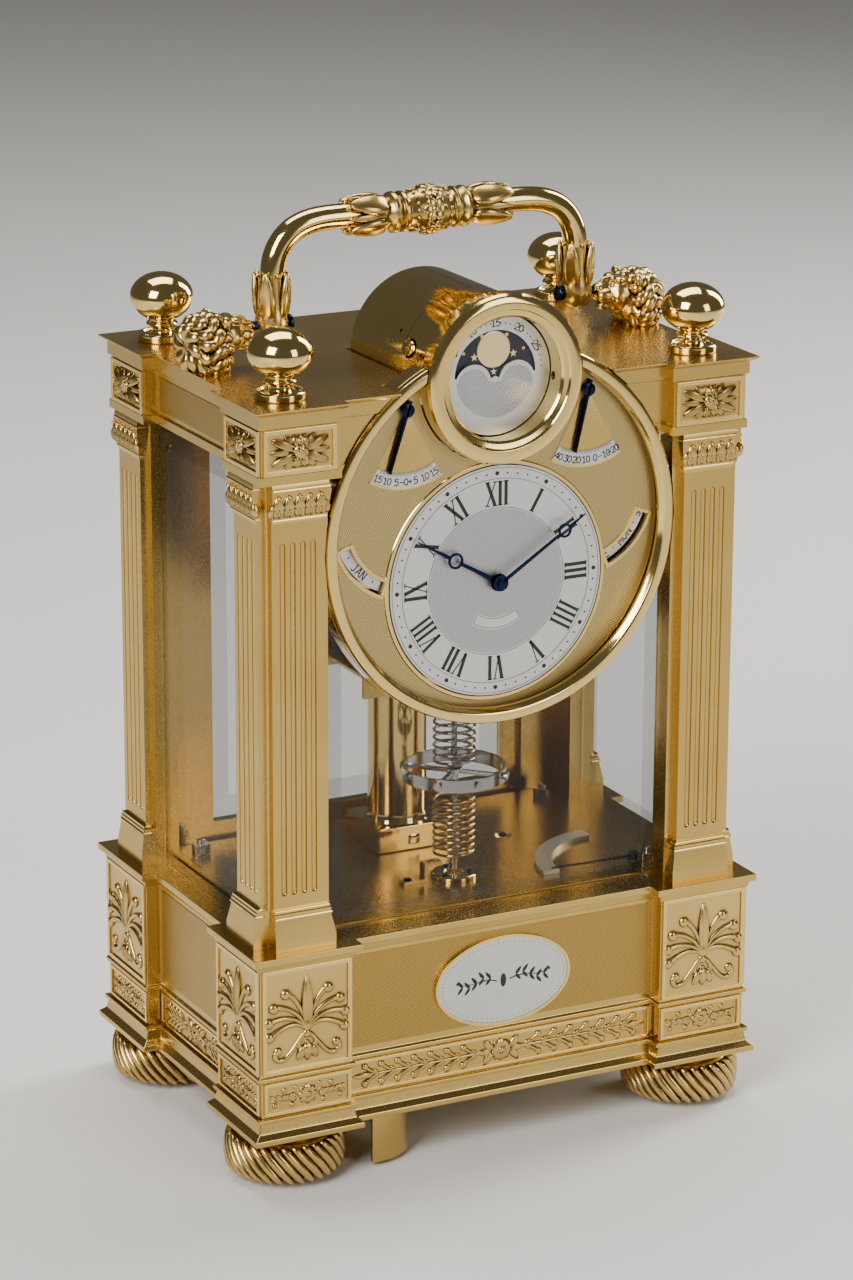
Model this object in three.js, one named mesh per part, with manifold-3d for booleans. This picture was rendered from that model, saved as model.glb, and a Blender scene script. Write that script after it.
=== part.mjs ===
// A four-glass mantel clock in gilt brass: moulded base on bun feet, four corner pillars, bevelled
// glass on every side, an off-centre silver dial, a balance with two helical springs on show under
// the dial, and a round dock for a pocket watch let into the top.
//
// Millimetres, +Z up. The origin is on the floor under the middle of the base; the dial faces -Y
// and +X is to the right of someone looking at the dial.

import * as THREE from 'three';
import { mergeVertices } from 'three/addons/utils/BufferGeometryUtils.js';
import Module from 'manifold-3d';

const wasm = await Module();
wasm.setup();

// ---------------------------------------------------------------- driving dimensions

const DIE_HALF_WIDTH = 97;          // face of the base's corner blocks
const DIE_HALF_DEPTH = 66.4;
const DIE_BLOCK = 35.4;             // length of a corner block along each side
const RECESS = 5.5;                 // how far the panels lie behind the corner blocks

const FOOT_RADIUS = 21.7;
const FOOT_HEIGHT = 19;
const FOOT_X = 80.3;
const FOOT_Y = 49.8;

const PLINTH_BOTTOM = 19;
const CASE_BOTTOM = 28;
const CORNICE_BOTTOM = 82;
const CORNICE_TOP = 87.5;
const FLOOR_TOP = 88;

const PILLAR_TOP = 253.1;
const FRIEZE_BOTTOM = 256.1;
const FRIEZE_TOP = 272;
const PLATE_BOTTOM = 277.4;
const PLATE_TOP = 279.1;
const FRIEZE_HALF_WIDTH = 93.3;
const FRIEZE_HALF_DEPTH = 62.5;
const FRIEZE_BLOCK = 28.4;
const FRIEZE_RECESS = 5;

const DIAL_Z = 224.4;               // centre of the round dial case
const DIAL_RADIUS = 67.8;
const DIAL_FRONT = -59.5;
const DIAL_BACK = -47.8;
const HANDS_Z = 206.6;              // centre of the silver hour dial
const CHAPTER_RADIUS = 41.3;
const PLATE_FRONT = -53.5;          // front face of the engine-turned dial plate

const SECTOR_X = 35;                // pivots of the equation and temperature pointers
const SECTOR_Z = 271.3;
const CALENDAR_X = 33.5;            // centres of the weekday and month discs
const CALENDAR_Z = 233.5;
const CALENDAR_RADIUS = 27.8;

const DOCK_Z = 279.4;               // axis of the watch dock
const DOCK_RADIUS = 29.8;
const DOCK_BORE = 21.5;
const DOCK_FRONT = -61.5;
const CAN_RADIUS = 27;
const CAN_BACK = 5.7;

const HANDLE_PIVOT_Z = 292.5;
const HANDLE_X = 59.9;
const TUBE_RADIUS = 4.4;

const GLASS_THICKNESS = 3;
const GAP = 0.3;                    // clearance kept between pieces that touch on the real clock
const RUNNING = 0.3;                // clearance round a turning shaft

const BALANCE_Y = -23.4;
const BALANCE_Z = 125;
const SEAT_BOTTOM = 164;            // the board that carries the movement
const SEAT_TOP = 167;

// ---------------------------------------------------------------- materials

const finish = (color, roughness, metalness) =>
  new THREE.MeshStandardMaterial({ color, roughness, metalness });
const gilt = finish(0xc9a24b, 0.38, 1);
const polishedGilt = finish(0xdab65c, 0.12, 1);
const castGilt = finish(0xb8923f, 0.45, 1);
const silver = finish(0xc9cacd, 0.4, 1);
const bluedSteel = finish(0x1f2540, 0.25, 1);
const steel = finish(0x9a9a9c, 0.25, 1);
const moonBlue = finish(0x2b2c3a, 0.5, 0);
const glass = new THREE.MeshStandardMaterial({
  color: 0xdfe8ea, roughness: 0.05, metalness: 0, transparent: true, opacity: 0.35,
});

const clock = new THREE.Group();

// ---------------------------------------------------------------- geometry helpers

// One closed body with shared vertices, no zero-area triangles and its faces pointing out.
function closed(geometry) {
  geometry.deleteAttribute('normal');
  geometry.deleteAttribute('uv');
  const merged = mergeVertices(geometry, 1e-4);
  const position = merged.attributes.position;
  const index = merged.index ? [...merged.index.array] : [...Array(position.count).keys()];
  const kept = [];
  let volume = 0;
  const corner = [new THREE.Vector3(), new THREE.Vector3(), new THREE.Vector3()];
  for (let i = 0; i < index.length; i += 3) {
    const [a, b, c] = index.slice(i, i + 3);
    if (a === b || b === c || c === a) continue;
    kept.push(a, b, c);
    [a, b, c].forEach((vertex, k) => corner[k].fromBufferAttribute(position, vertex));
    volume += corner[0].dot(corner[1].cross(corner[2]));
  }
  if (volume < 0) kept.reverse();
  merged.setIndex(kept);
  return merged;
}

function toManifold(geometry) {
  const mesh = closed(geometry);
  return new wasm.Manifold(new wasm.Mesh({
    numProp: 3,
    vertProperties: new Float32Array(mesh.attributes.position.array),
    triVerts: new Uint32Array(mesh.index.array),
  }));
}

function toGeometry(manifold) {
  const mesh = manifold.getMesh();
  const geometry = new THREE.BufferGeometry();
  geometry.setAttribute('position', new THREE.BufferAttribute(mesh.vertProperties, 3));
  geometry.setIndex(new THREE.BufferAttribute(mesh.triVerts, 1));
  return geometry;
}

const combine = (method, first, others) =>
  toGeometry(others.reduce((body, other) => body[method](toManifold(other)), toManifold(first)));
const union = (first, ...others) => combine('add', first, others);
const cut = (first, ...others) => combine('subtract', first, others);

function part(name, geometry, material) {
  const mesh = new THREE.Mesh(closed(geometry), material);
  mesh.geometry.computeVertexNormals();
  mesh.name = name;
  clock.add(mesh);
  return mesh;
}

// A block between two opposite corners.
function block([x0, y0, z0], [x1, y1, z1]) {
  const geometry = new THREE.BoxGeometry(x1 - x0, y1 - y0, z1 - z0);
  return geometry.translate((x0 + x1) / 2, (y0 + y1) / 2, (z0 + z1) / 2);
}

// A profile of [radius, height] points turned about Z. It starts and ends on the axis, or, with
// ring set, closes on itself.
function turned(profile, segments = 24, ring = false) {
  const points = profile.map(([radius, height]) => new THREE.Vector2(radius, height));
  if (ring) points.push(points[0].clone());
  return new THREE.LatheGeometry(points, segments).rotateX(Math.PI / 2);
}

// The same, turned about the front-to-back axis through (x, z): heights are places along Y.
function turnedAboutY(profile, x, z, segments = 32, ring = false) {
  const points = profile.map(([radius, y]) => new THREE.Vector2(radius, y));
  if (ring) points.push(points[0].clone());
  return new THREE.LatheGeometry(points, segments).translate(x, 0, z);
}

const rodAboutY = (radius, y0, y1, x, z, segments = 12) =>
  turnedAboutY([[0, y0], [radius, y0], [radius, y1], [0, y1]], x, z, segments);
const rodAboutZ = (radius, z0, z1, x, y, segments = 12) =>
  turned([[0, z0], [radius, z0], [radius, z1], [0, z1]], segments).translate(x, y, 0);
const rodAboutX = (radius, x0, x1, y, z, segments = 12) =>
  turned([[0, x0], [radius, x0], [radius, x1], [0, x1]], segments)
    .rotateY(Math.PI / 2).translate(0, y, z);

// A flat outline in the XZ plane, given thickness from y0 to y1.
function platedXZ(shape, y0, y1, curveSegments = 6) {
  const geometry = new THREE.ExtrudeGeometry(shape,
    { depth: y1 - y0, bevelEnabled: false, curveSegments });
  return geometry.rotateX(Math.PI / 2).translate(0, y1, 0);
}

// A flat outline in the XY plane, given thickness from z0 to z1.
function platedXY(shape, z0, z1, curveSegments = 6) {
  const geometry = new THREE.ExtrudeGeometry(shape,
    { depth: z1 - z0, bevelEnabled: false, curveSegments });
  return geometry.translate(0, 0, z0);
}

const shapeOf = (points) => new THREE.Shape(points.map(([x, y]) => new THREE.Vector2(x, y)));

// A closed body through outlines of equal length, one at each height: levels is [z, outline].
function loft(levels) {
  const count = levels[0][1].length;
  const vertices = levels.flatMap(([z, outline]) => outline.flatMap(([x, y]) => [x, y, z]));
  const index = [];
  for (let level = 0; level < levels.length - 1; level++) {
    for (let i = 0; i < count; i++) {
      const a = level * count + i;
      const b = level * count + (i + 1) % count;
      index.push(a, b, b + count, a, b + count, a + count);
    }
  }
  const last = (levels.length - 1) * count;
  const capOf = ([, outline]) =>
    THREE.ShapeUtils.triangulateShape(outline.map(([x, y]) => new THREE.Vector2(x, y)), []);
  for (const [a, b, c] of capOf(levels[0])) index.push(c, b, a);
  for (const [a, b, c] of capOf(levels.at(-1))) index.push(last + a, last + b, last + c);
  const geometry = new THREE.BufferGeometry();
  geometry.setAttribute('position', new THREE.Float32BufferAttribute(vertices, 3));
  geometry.setIndex(index);
  return geometry;
}

// A rectangle whose four corner blocks stand proud of its sides, grown outwards all round.
function steppedOutline(halfWidth, halfDepth, blockX, blockY, recess, grow = 0) {
  const w = halfWidth + grow;
  const d = halfDepth + grow;
  const endX = halfWidth - blockX - grow;
  const endY = halfDepth - blockY - grow;
  const corner = [[w - recess, endY], [w, endY], [w, d], [endX, d], [endX, d - recess]];
  const mirror = (points, sx, sy) => points.map(([x, y]) => [x * sx, y * sy]);
  return [
    ...corner,
    ...mirror(corner, -1, 1).reverse(),
    ...mirror(corner, -1, -1),
    ...mirror(corner, 1, -1).reverse(),
  ];
}

const baseOutline = (grow) =>
  steppedOutline(DIE_HALF_WIDTH, DIE_HALF_DEPTH, DIE_BLOCK, DIE_BLOCK, RECESS, grow);
const friezeOutline = (grow) => steppedOutline(
  FRIEZE_HALF_WIDTH, FRIEZE_HALF_DEPTH, FRIEZE_BLOCK, FRIEZE_BLOCK, FRIEZE_RECESS, grow);

const CORNERS = [
  ['front_left', -1, -1], ['front_right', 1, -1], ['rear_left', -1, 1], ['rear_right', 1, 1],
];

// ---------------------------------------------------------------- base

const footProfile = [
  [0, 0], [14, 0], [18.8, 3], [FOOT_RADIUS, 9.4], [18.8, 15.8], [13, FOOT_HEIGHT], [0, FOOT_HEIGHT],
];
for (const [corner, sx, sy] of CORNERS) {
  const foot = part(`foot_${corner}`, turned(footProfile, 16), castGilt);
  foot.position.set(sx * FOOT_X, sy * FOOT_Y, 0);
}

const plinth = loft([
  [PLINTH_BOTTOM, baseOutline(3.3)], [21, baseOutline(3.3)], [22.7, baseOutline(1.2)],
  [26.2, baseOutline(0.4)], [26.6, baseOutline(1.6)], [CASE_BOTTOM, baseOutline(1.6)],
]);
const CASE_INNER_X = 84;
const CASE_INNER_Y = 52;
const caseRoom = (z0, z1) =>
  block([-CASE_INNER_X, -CASE_INNER_Y, z0], [CASE_INNER_X, CASE_INNER_Y, z1]);
part('plinth_moulding', cut(plinth, caseRoom(PLINTH_BOTTOM + 3, CASE_BOTTOM + 1)), gilt);

const baseCase = loft([
  [CASE_BOTTOM, baseOutline(-0.3)], [41, baseOutline(-0.3)], [41.6, baseOutline(1)],
  [43, baseOutline(1)], [43.6, baseOutline(0)], [CORNICE_BOTTOM, baseOutline(0)],
]);
part('base_case', cut(baseCase, caseRoom(CASE_BOTTOM - 1, CORNICE_BOTTOM + 1)), gilt);

const cornice = loft([
  [CORNICE_BOTTOM, baseOutline(0.5)], [84.6, baseOutline(1.2)], [85, baseOutline(2.8)],
  [CORNICE_TOP, baseOutline(2.8)],
]);
const FLOOR_HALF_X = 81;
const FLOOR_HALF_Y = 50;
part('base_cornice', cut(cornice,
  block([-FLOOR_HALF_X, -FLOOR_HALF_Y, CORNICE_BOTTOM - 1], [FLOOR_HALF_X, FLOOR_HALF_Y, 88])),
gilt);

const floor = block([-FLOOR_HALF_X + GAP, -FLOOR_HALF_Y + GAP, CORNICE_BOTTOM],
  [FLOOR_HALF_X - GAP, FLOOR_HALF_Y - GAP, FLOOR_TOP]);
const SINK_X = 36.9;
const SINK_Y = 7.8;
part('floor_plate', cut(floor,
  turned([[0, 86.5], [1.8, 86.5], [3.4, 88.2], [0, 88.2]], 16).translate(SINK_X, SINK_Y, 0)), gilt);

const PLAQUE_Z = 61.5;
const PANEL_FACE = -(DIE_HALF_DEPTH - RECESS);
const plaque = new THREE.Shape();
plaque.absellipse(0, 0, 27, 16.8, 0, Math.PI * 2);
part('oval_plaque', platedXZ(plaque, PANEL_FACE - 1.4, PANEL_FACE, 10)
  .translate(0, 0, PLAQUE_Z), silver);

// A lever under the front edge: a flat tail on a vertical pin and a curved skirt for a finger.
const LEVER_X = -50;
const LEVER_Y = -43;
const LEVER_RADIUS = 20;
const LEVER_TOP = PLINTH_BOTTOM - GAP;
const skirt = new THREE.Shape();
const SKIRT_FROM = -1.68;
const SKIRT_TO = -0.7;
skirt.absarc(0, 0, LEVER_RADIUS, SKIRT_FROM, SKIRT_TO, false);
skirt.absarc(0, 0, LEVER_RADIUS - 1.6, SKIRT_TO, SKIRT_FROM, true);
const tail = new THREE.Shape();
tail.moveTo(0, 0);
const tailReach = LEVER_RADIUS - 1;
tail.lineTo(Math.cos(SKIRT_FROM) * tailReach, Math.sin(SKIRT_FROM) * tailReach);
tail.absarc(0, 0, tailReach, SKIRT_FROM, SKIRT_TO, false);
part('silent_lever', union(
  platedXY(skirt, 1.6, LEVER_TOP, 8),
  platedXY(tail, LEVER_TOP - 2, LEVER_TOP, 8),
  rodAboutZ(5, LEVER_TOP - 2, LEVER_TOP, 0, 0, 16),
), gilt).position.set(LEVER_X, LEVER_Y, 0);

// ---------------------------------------------------------------- corner pillars

// Plan of one pillar for the +X +Y corner: an angle whose two legs each carry a strip that stands
// proud. grow swells the two strips for the base and capital mouldings.
function pillarPlan(grow, sx, sy) {
  const g = grow;
  const plan = [
    [67, 50], [81, 50], [81, 37], [90, 37], [90, 39.7 - g], [93 + g, 39.7 - g],
    [93 + g, 58.3 + g * 0.2], [90.2, 58.3 + g * 0.2], [90, 58.7], [89.5 + g * 0.2, 58.9],
    [89.5 + g * 0.2, 62 + g], [70 - g, 62 + g], [70 - g, 58.7], [67 - g * 0.1, 58.7],
  ].map(([x, y]) => [x * sx, y * sy]);
  return sx * sy > 0 ? plan : plan.reverse();
}
const pillarLevels = [
  [CORNICE_TOP, 2.9], [92, 2.9], [98.6, 1.6], [101, 1.6], [102, 0], [238.8, 0], [240, 0.7],
  [249.6, 2], [PILLAR_TOP, 1.3],
];
// Round rooms for the dial case and the dock, cut out of the pieces round them.
const dialWell = (radius, y0, y1) => rodAboutY(radius, y0, y1, 0, DIAL_Z, 40);
const dockWell = (radius, y0, y1) => rodAboutY(radius, y0, y1, 0, DOCK_Z, 28);

for (const [corner, sx, sy] of CORNERS) {
  const angle = loft(pillarLevels.map(([z, grow]) => [z, pillarPlan(grow, sx, sy)]));
  part(`pillar_${corner}`, cut(angle, dialWell(DIAL_RADIUS + GAP, -80, DIAL_BACK + GAP)), gilt);
}

// ---------------------------------------------------------------- entablature and top plate

const entablature = loft([
  [PILLAR_TOP, friezeOutline(1)], [FRIEZE_BOTTOM, friezeOutline(1)],
  [FRIEZE_BOTTOM + 0.2, friezeOutline(0)], [FRIEZE_TOP, friezeOutline(0)],
  [FRIEZE_TOP + 0.6, friezeOutline(1.3)], [PLATE_BOTTOM, friezeOutline(1.3)],
]);
part('entablature', cut(entablature,
  block([-82, -51, PILLAR_TOP - 1], [82, 51, PLATE_BOTTOM + 1]),
  dialWell(DIAL_RADIUS + 0.4, -80, DIAL_BACK + 0.5)), gilt);

const topOutline = (grow) => steppedOutline(96.7, 67, 34.6, 37.8, 5, grow);
const topSlab = loft([
  [PLATE_BOTTOM, topOutline(-1.6)], [PLATE_TOP - 0.5, topOutline(0)], [PLATE_TOP, topOutline(0)],
]);
part('top_plate', cut(topSlab,
  dialWell(DIAL_RADIUS + GAP, -80, DIAL_BACK + GAP),
  block([-41, -80, PLATE_BOTTOM - 1], [41, DIAL_BACK + 0.5, PLATE_TOP + 1]),
  block([-CAN_RADIUS - 1, DIAL_BACK, PLATE_BOTTOM - 1],
    [CAN_RADIUS + 1, CAN_BACK + 2, PLATE_TOP + 1])), gilt);

const FINIAL_X = 79.7;
const FINIAL_Y = 49;
const finialProfile = [
  [0, PLATE_TOP], [8.6, PLATE_TOP], [8.6, 281.8], [3.1, 283.2], [5.5, 286],
  [10.2, 290], [11.3, 294.8], [8.6, 301.2], [0, 303.5],
];
for (const [corner, sx, sy] of CORNERS) {
  const finial = part(`finial_${corner}`, turned(finialProfile, 12), polishedGilt);
  finial.position.set(sx * FINIAL_X, sy * FINIAL_Y, 0);
}

// ---------------------------------------------------------------- lion heads and handle

// A squashed ball; size is its three half axes.
const lump = (center, size) =>
  new THREE.SphereGeometry(1, 8, 5).scale(...size).translate(...center);
const PIN_RADIUS = 1.6;
for (const [side, sx] of [['left', -1], ['right', 1]]) {
  const head = union(
    lump([sx * 81, 0, 286], [13, 13.5, 12]),
    lump([sx * 75, 0, 291.5], [9, 9.5, 8.6]),
    lump([sx * 71, 0, 293], [5.4, 6, 5.4]),
    lump([sx * 80, -9.5, 296], [3, 2.6, 3]),
    lump([sx * 80, 9.5, 296], [3, 2.6, 3]),
  );
  const below = block([sx * 85 - 30, -20, 260], [sx * 85 + 30, 20, PLATE_TOP]);
  const socket = rodAboutX(PIN_RADIUS + GAP, Math.min(sx * 60, sx * 70.6),
    Math.max(sx * 60, sx * 70.6), 0, HANDLE_PIVOT_Z);
  const muzzleEnd = block([Math.min(sx * 40, sx * 66.8), -20, 270],
    [Math.max(sx * 40, sx * 66.8), 20, 310]);
  part(`lion_head_${side}`, cut(head, below, socket, muzzleEnd), castGilt);

  const pinParts = [
    rodAboutX(PIN_RADIUS, Math.min(sx * 53.6, sx * 70.3), Math.max(sx * 53.6, sx * 70.3), 0,
      HANDLE_PIVOT_Z),
    rodAboutX(3, Math.min(sx * 52.2, sx * 53.6), Math.max(sx * 52.2, sx * 53.6), 0,
      HANDLE_PIVOT_Z, 16),
  ];
  part(`handle_pivot_${side}`, union(...pinParts), bluedSteel);
}

const bowPoints = [
  [HANDLE_X, 292.5], [59.9, 304], [59.3, 312], [57.8, 318.2], [54.4, 323], [47.2, 326.9],
  [39, 328.1], [28, 328.1], [0, 327.8],
];
const bowPath = new THREE.CatmullRomCurve3([
  ...bowPoints.map(([x, z]) => new THREE.Vector3(x, 0, z)),
  ...bowPoints.slice(0, -1).reverse().map(([x, z]) => new THREE.Vector3(-x, 0, z)),
]);
const tubeSection = new THREE.Shape();
tubeSection.absarc(0, 0, TUBE_RADIUS, 0, Math.PI * 2);
const bow = new THREE.ExtrudeGeometry(tubeSection,
  { steps: 24, bevelEnabled: false, curveSegments: 4, extrudePath: bowPath });
const gripProfile = [
  [0, -30], [5.4, -30], [7.6, -14], [6, -11], [8.3, -5], [8.3, 5], [6, 11], [7.6, 14], [5.4, 30],
  [0, 30],
];
const grip = turned(gripProfile, 10).rotateY(Math.PI / 2).translate(0, 0, 327.7);
const footSheath = [[0, -5.7], [4, -4.8], [6, 0], [5.4, 6], [6.4, 19], [0, 19]];
const sheath = (x) => turned(footSheath, 10).translate(x, 0, HANDLE_PIVOT_Z);
const pinHole = rodAboutX(PIN_RADIUS + RUNNING, -68, 68, 0, HANDLE_PIVOT_Z);
const innerFlat = block([-53.9, -8, 280], [53.9, 8, 300]);
part('carrying_handle',
  cut(union(bow, grip, sheath(HANDLE_X), sheath(-HANDLE_X)), pinHole, innerFlat), polishedGilt);

// ---------------------------------------------------------------- watch dock

const dockProfile = [
  [DOCK_BORE, -59.6], [26.6, DOCK_FRONT], [28.6, -61.1], [DOCK_RADIUS, -59.6],
  [DOCK_RADIUS, -54.1], [24.2, -54.1], [24.2, -48], [DOCK_BORE, -48],
];
part('dock_bezel', turnedAboutY(dockProfile, 0, DOCK_Z, 28, true), polishedGilt);

const canProfile = [
  [CAN_RADIUS - 2.2, -53.8], [CAN_RADIUS, -53.8], [CAN_RADIUS, CAN_BACK], [0, CAN_BACK],
  [0, CAN_BACK - 1.6], [CAN_RADIUS - 2.2, CAN_BACK - 1.6],
];
const SCOOP_ANGLE = 2.78;           // round from +X towards +Z, on the left side above the plate
const BUTTON_Y = -37;
const alongRadius = (geometry) => geometry.rotateY(Math.PI / 2 - SCOOP_ANGLE)
  .translate(0, BUTTON_Y, DOCK_Z);
const canHole = alongRadius(turned([[0, 22], [3.4, 22], [3.4, 30], [0, 30]], 12));
part('dock_cover', cut(turnedAboutY(canProfile, 0, DOCK_Z, 28, true), canHole), polishedGilt);
const buttonProfile = [[0, 20.5], [5, 20.5], [5, 22.5], [2.8, 22.5], [2.8, 27.2], [0, 27.8]];
part('dock_button', alongRadius(turned(buttonProfile, 10)), gilt);

const MOON_FRONT = -52;
const maskRing = new THREE.Shape();
maskRing.absarc(0, 0, DOCK_BORE - GAP, 0, Math.PI * 2);
const skyWindow = new THREE.Path();
const SKY_RADIUS = 15.6;
const HUMP_X = 8.4;
const HUMP_RADIUS = 6.9;
skyWindow.absarc(0, 0, SKY_RADIUS, 0.08, Math.PI - 0.08, false);
skyWindow.absarc(-HUMP_X, -2.6, HUMP_RADIUS, 2.6, 0.35, true);
skyWindow.absarc(HUMP_X, -2.6, HUMP_RADIUS, Math.PI - 0.35, 0.54, true);
maskRing.holes.push(skyWindow);
part('moon_mask', platedXZ(maskRing, MOON_FRONT, MOON_FRONT + 1, 8).translate(0, 0, DOCK_Z),
  silver);
part('moon_disc', turnedAboutY(
  [[0, -50.7], [19.5, -50.7], [19.5, -50], [2, -50], [2, -46], [0, -46]], 0, DOCK_Z, 20), moonBlue);

// ---------------------------------------------------------------- dial case and dial

const dialCut = dockWell(DOCK_RADIUS + GAP, -70, -40);
const BACK_INNER = DIAL_BACK - 1.5;
const CASE_BORE = 64.2;
part('dial_case', cut(turnedAboutY([
  [CASE_BORE, -56], [DIAL_RADIUS, -56], [DIAL_RADIUS, DIAL_BACK], [0, DIAL_BACK],
  [0, BACK_INNER], [CASE_BORE, BACK_INNER],
], 0, DIAL_Z, 40, true), dialCut, rodAboutY(2.4, -52, -46, 0, HANDS_Z)), gilt);

part('dial_bezel', cut(turnedAboutY([
  [62.6, -57.4], [64.2, DIAL_FRONT], [67.2, DIAL_FRONT], [DIAL_RADIUS, -58.9],
  [DIAL_RADIUS, -56], [62.6, -56],
], 0, DIAL_Z, 40, true), dialCut), polishedGilt);

// The slot that shows part of a calendar ring, as a wedge of a ring about the disc's centre.
const SLOT_FROM = -67 * Math.PI / 180;
const SLOT_TO = -20.5 * Math.PI / 180;
function calendarSlot(side) {
  const slot = new THREE.Shape();
  slot.absarc(0, 0, 28.6, SLOT_FROM, SLOT_TO, false);
  slot.absarc(0, 0, 24, SLOT_TO, SLOT_FROM, true);
  return platedXZ(slot, -60, -50, 5).scale(side, 1, 1).translate(side * CALENDAR_X, 0, CALENDAR_Z);
}
part('dial_plate', cut(rodAboutY(CASE_BORE - 0.6, PLATE_FRONT, PLATE_FRONT + 1.2, 0, DIAL_Z, 40),
  rodAboutY(CHAPTER_RADIUS + 0.4, -60, -50, 0, HANDS_Z, 32), dialCut,
  calendarSlot(1), calendarSlot(-1)), gilt);

part('chapter_dial', turnedAboutY([
  [2.4, -54.1], [CHAPTER_RADIUS, -54.1], [CHAPTER_RADIUS, -52], [2.4, -52],
], 0, HANDS_Z, 32, true), silver);

for (const [name, side] of [['month_disc', -1], ['weekday_disc', 1]]) {
  part(name, turnedAboutY([
    [0, -51.8], [CALENDAR_RADIUS, -51.8], [CALENDAR_RADIUS, -51.1], [2, -51.1], [2, -49.5],
    [0, -49.5],
  ], side * CALENDAR_X, CALENDAR_Z, 20), silver);
}

// ---------------------------------------------------------------- hands and pointers

// A watch hand with a ring near its tip, drawn pointing along +Z from a round boss.
function handShape(boss, length, ringAt, ringRadius, halfWidth) {
  const hand = new THREE.Shape();
  const ringHalf = Math.asin(halfWidth / ringRadius);
  const bossHalf = Math.asin(halfWidth / boss);
  hand.absarc(0, 0, boss, Math.PI / 2 + bossHalf, Math.PI * 2.5 - bossHalf, false);
  hand.absarc(0, ringAt, ringRadius, -Math.PI / 2 + ringHalf, Math.PI / 2 - ringHalf, false);
  hand.lineTo(0, length);
  hand.absarc(0, ringAt, ringRadius, Math.PI / 2 + ringHalf, Math.PI * 1.5 - ringHalf, false);
  const eye = new THREE.Path();
  eye.absarc(0, ringAt, ringRadius * 0.68, 0, Math.PI * 2, true);
  hand.holes.push(eye);
  return hand;
}
const clockwise = (degrees) => degrees * Math.PI / 180;

// Turns a piece drawn upright at the origin by an angle seen from the front, then places it.
function pointed(geometry, degrees, x, z) {
  return geometry.rotateY(clockwise(degrees)).translate(x, 0, z);
}
const HOUR_ANGLE = -60;
const MINUTE_ANGLE = 57.4;
const ARBOR_RADIUS = 1.3;
part('hour_hand', pointed(cut(
  union(platedXZ(handShape(3.2, 36.3, 19.5, 2.9, 0.9), -56.4, -55.8, 5),
    rodAboutY(2.1, -56.4, -54.4, 0, 0)),
  rodAboutY(ARBOR_RADIUS + RUNNING, -60, -50, 0, 0)), HOUR_ANGLE, 0, HANDS_Z), bluedSteel);
part('minute_hand', pointed(
  union(platedXZ(handShape(2.8, 39, 29.6, 2.6, 0.65), -58, -57.4, 5),
    rodAboutY(1.6, -58.6, -57.4, 0, 0)), MINUTE_ANGLE, 0, HANDS_Z), bluedSteel);

const needle = shapeOf([[-0.9, 0], [0.9, 0], [0.25, 22.6], [-0.25, 22.6]]);
const EQUATION_ANGLE = 197.4;
const TEMPERATURE_ANGLE = 192.5;
for (const [name, side, degrees] of [
  ['equation_pointer', -1, EQUATION_ANGLE], ['temperature_pointer', 1, TEMPERATURE_ANGLE],
]) {
  part(name, pointed(union(platedXZ(needle, -55.6, -55.1), rodAboutY(2.6, -55.9, -54.9, 0, 0, 10),
    rodAboutY(1, -55, -53.6, 0, 0, 8)), degrees, side * SECTOR_X, SECTOR_Z), bluedSteel);
}

// ---------------------------------------------------------------- glass and rear door

const GLASS_BOTTOM = FLOOR_TOP + 0.4;
const GLASS_TOP = PILLAR_TOP - GAP;
const frontPane = block([-66.3, -54, GLASS_BOTTOM], [66.3, -54 + GLASS_THICKNESS, DIAL_Z]);
part('front_glass', cut(frontPane, dialWell(DIAL_RADIUS + 0.5, -80, -40)), glass);
for (const [name, side] of [['left_glass', -1], ['right_glass', 1]]) {
  const outer = side * 88;
  const inner = side * (88 - GLASS_THICKNESS);
  part(name, block([Math.min(outer, inner), -36.3, CORNICE_TOP + 0.4],
    [Math.max(outer, inner), 36.3, GLASS_TOP]), glass);
}

const DOOR_INNER = 52.6;
const DOOR_OUTER = 57;
const DOOR_HALF = 66.2;
const STILE = 6;
const HINGE_X = -66.7;
const HINGE_Y = 62.9;
const doorLeaf = cut(
  block([-DOOR_HALF, DOOR_INNER, GLASS_BOTTOM], [DOOR_HALF, DOOR_OUTER, GLASS_TOP]),
  block([-DOOR_HALF + STILE, DOOR_INNER - 1, GLASS_BOTTOM + STILE],
    [DOOR_HALF - STILE, DOOR_OUTER + 1, GLASS_TOP - STILE]));
const CATCH_X = 63.2;
const CATCH_Z = 170;
const knuckle = (z) => union(
  rodAboutZ(1.5, z, z + 12, HINGE_X, HINGE_Y, 8),
  block([HINGE_X + 0.2, DOOR_OUTER - 0.5, z + 1], [HINGE_X + 2.2, HINGE_Y, z + 11]));
part('door_frame', cut(union(doorLeaf, knuckle(110), knuckle(220)),
  rodAboutY(1.5 + RUNNING, DOOR_INNER - 1, DOOR_OUTER + 1, CATCH_X, CATCH_Z)), gilt);
const PANE_EDGE = STILE + GAP;
part('door_glass', block(
  [-DOOR_HALF + PANE_EDGE, 53.4, GLASS_BOTTOM + PANE_EDGE],
  [DOOR_HALF - PANE_EDGE, 53.4 + GLASS_THICKNESS, GLASS_TOP - PANE_EDGE]), glass);
part('door_catch', union(
  rodAboutY(1.5, 48.6, 58, CATCH_X, CATCH_Z),
  turnedAboutY([[0, 57.6], [2.4, 57.6], [4.2, 59.6], [4.2, 62], [3, 63.4], [0, 63.4]],
    CATCH_X, CATCH_Z, 10),
  block([CATCH_X - 1.8, 47.6, CATCH_Z - 2], [CATCH_X + 1.8, 49.2, CATCH_Z + 9])), gilt);

// ---------------------------------------------------------------- movement

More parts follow.
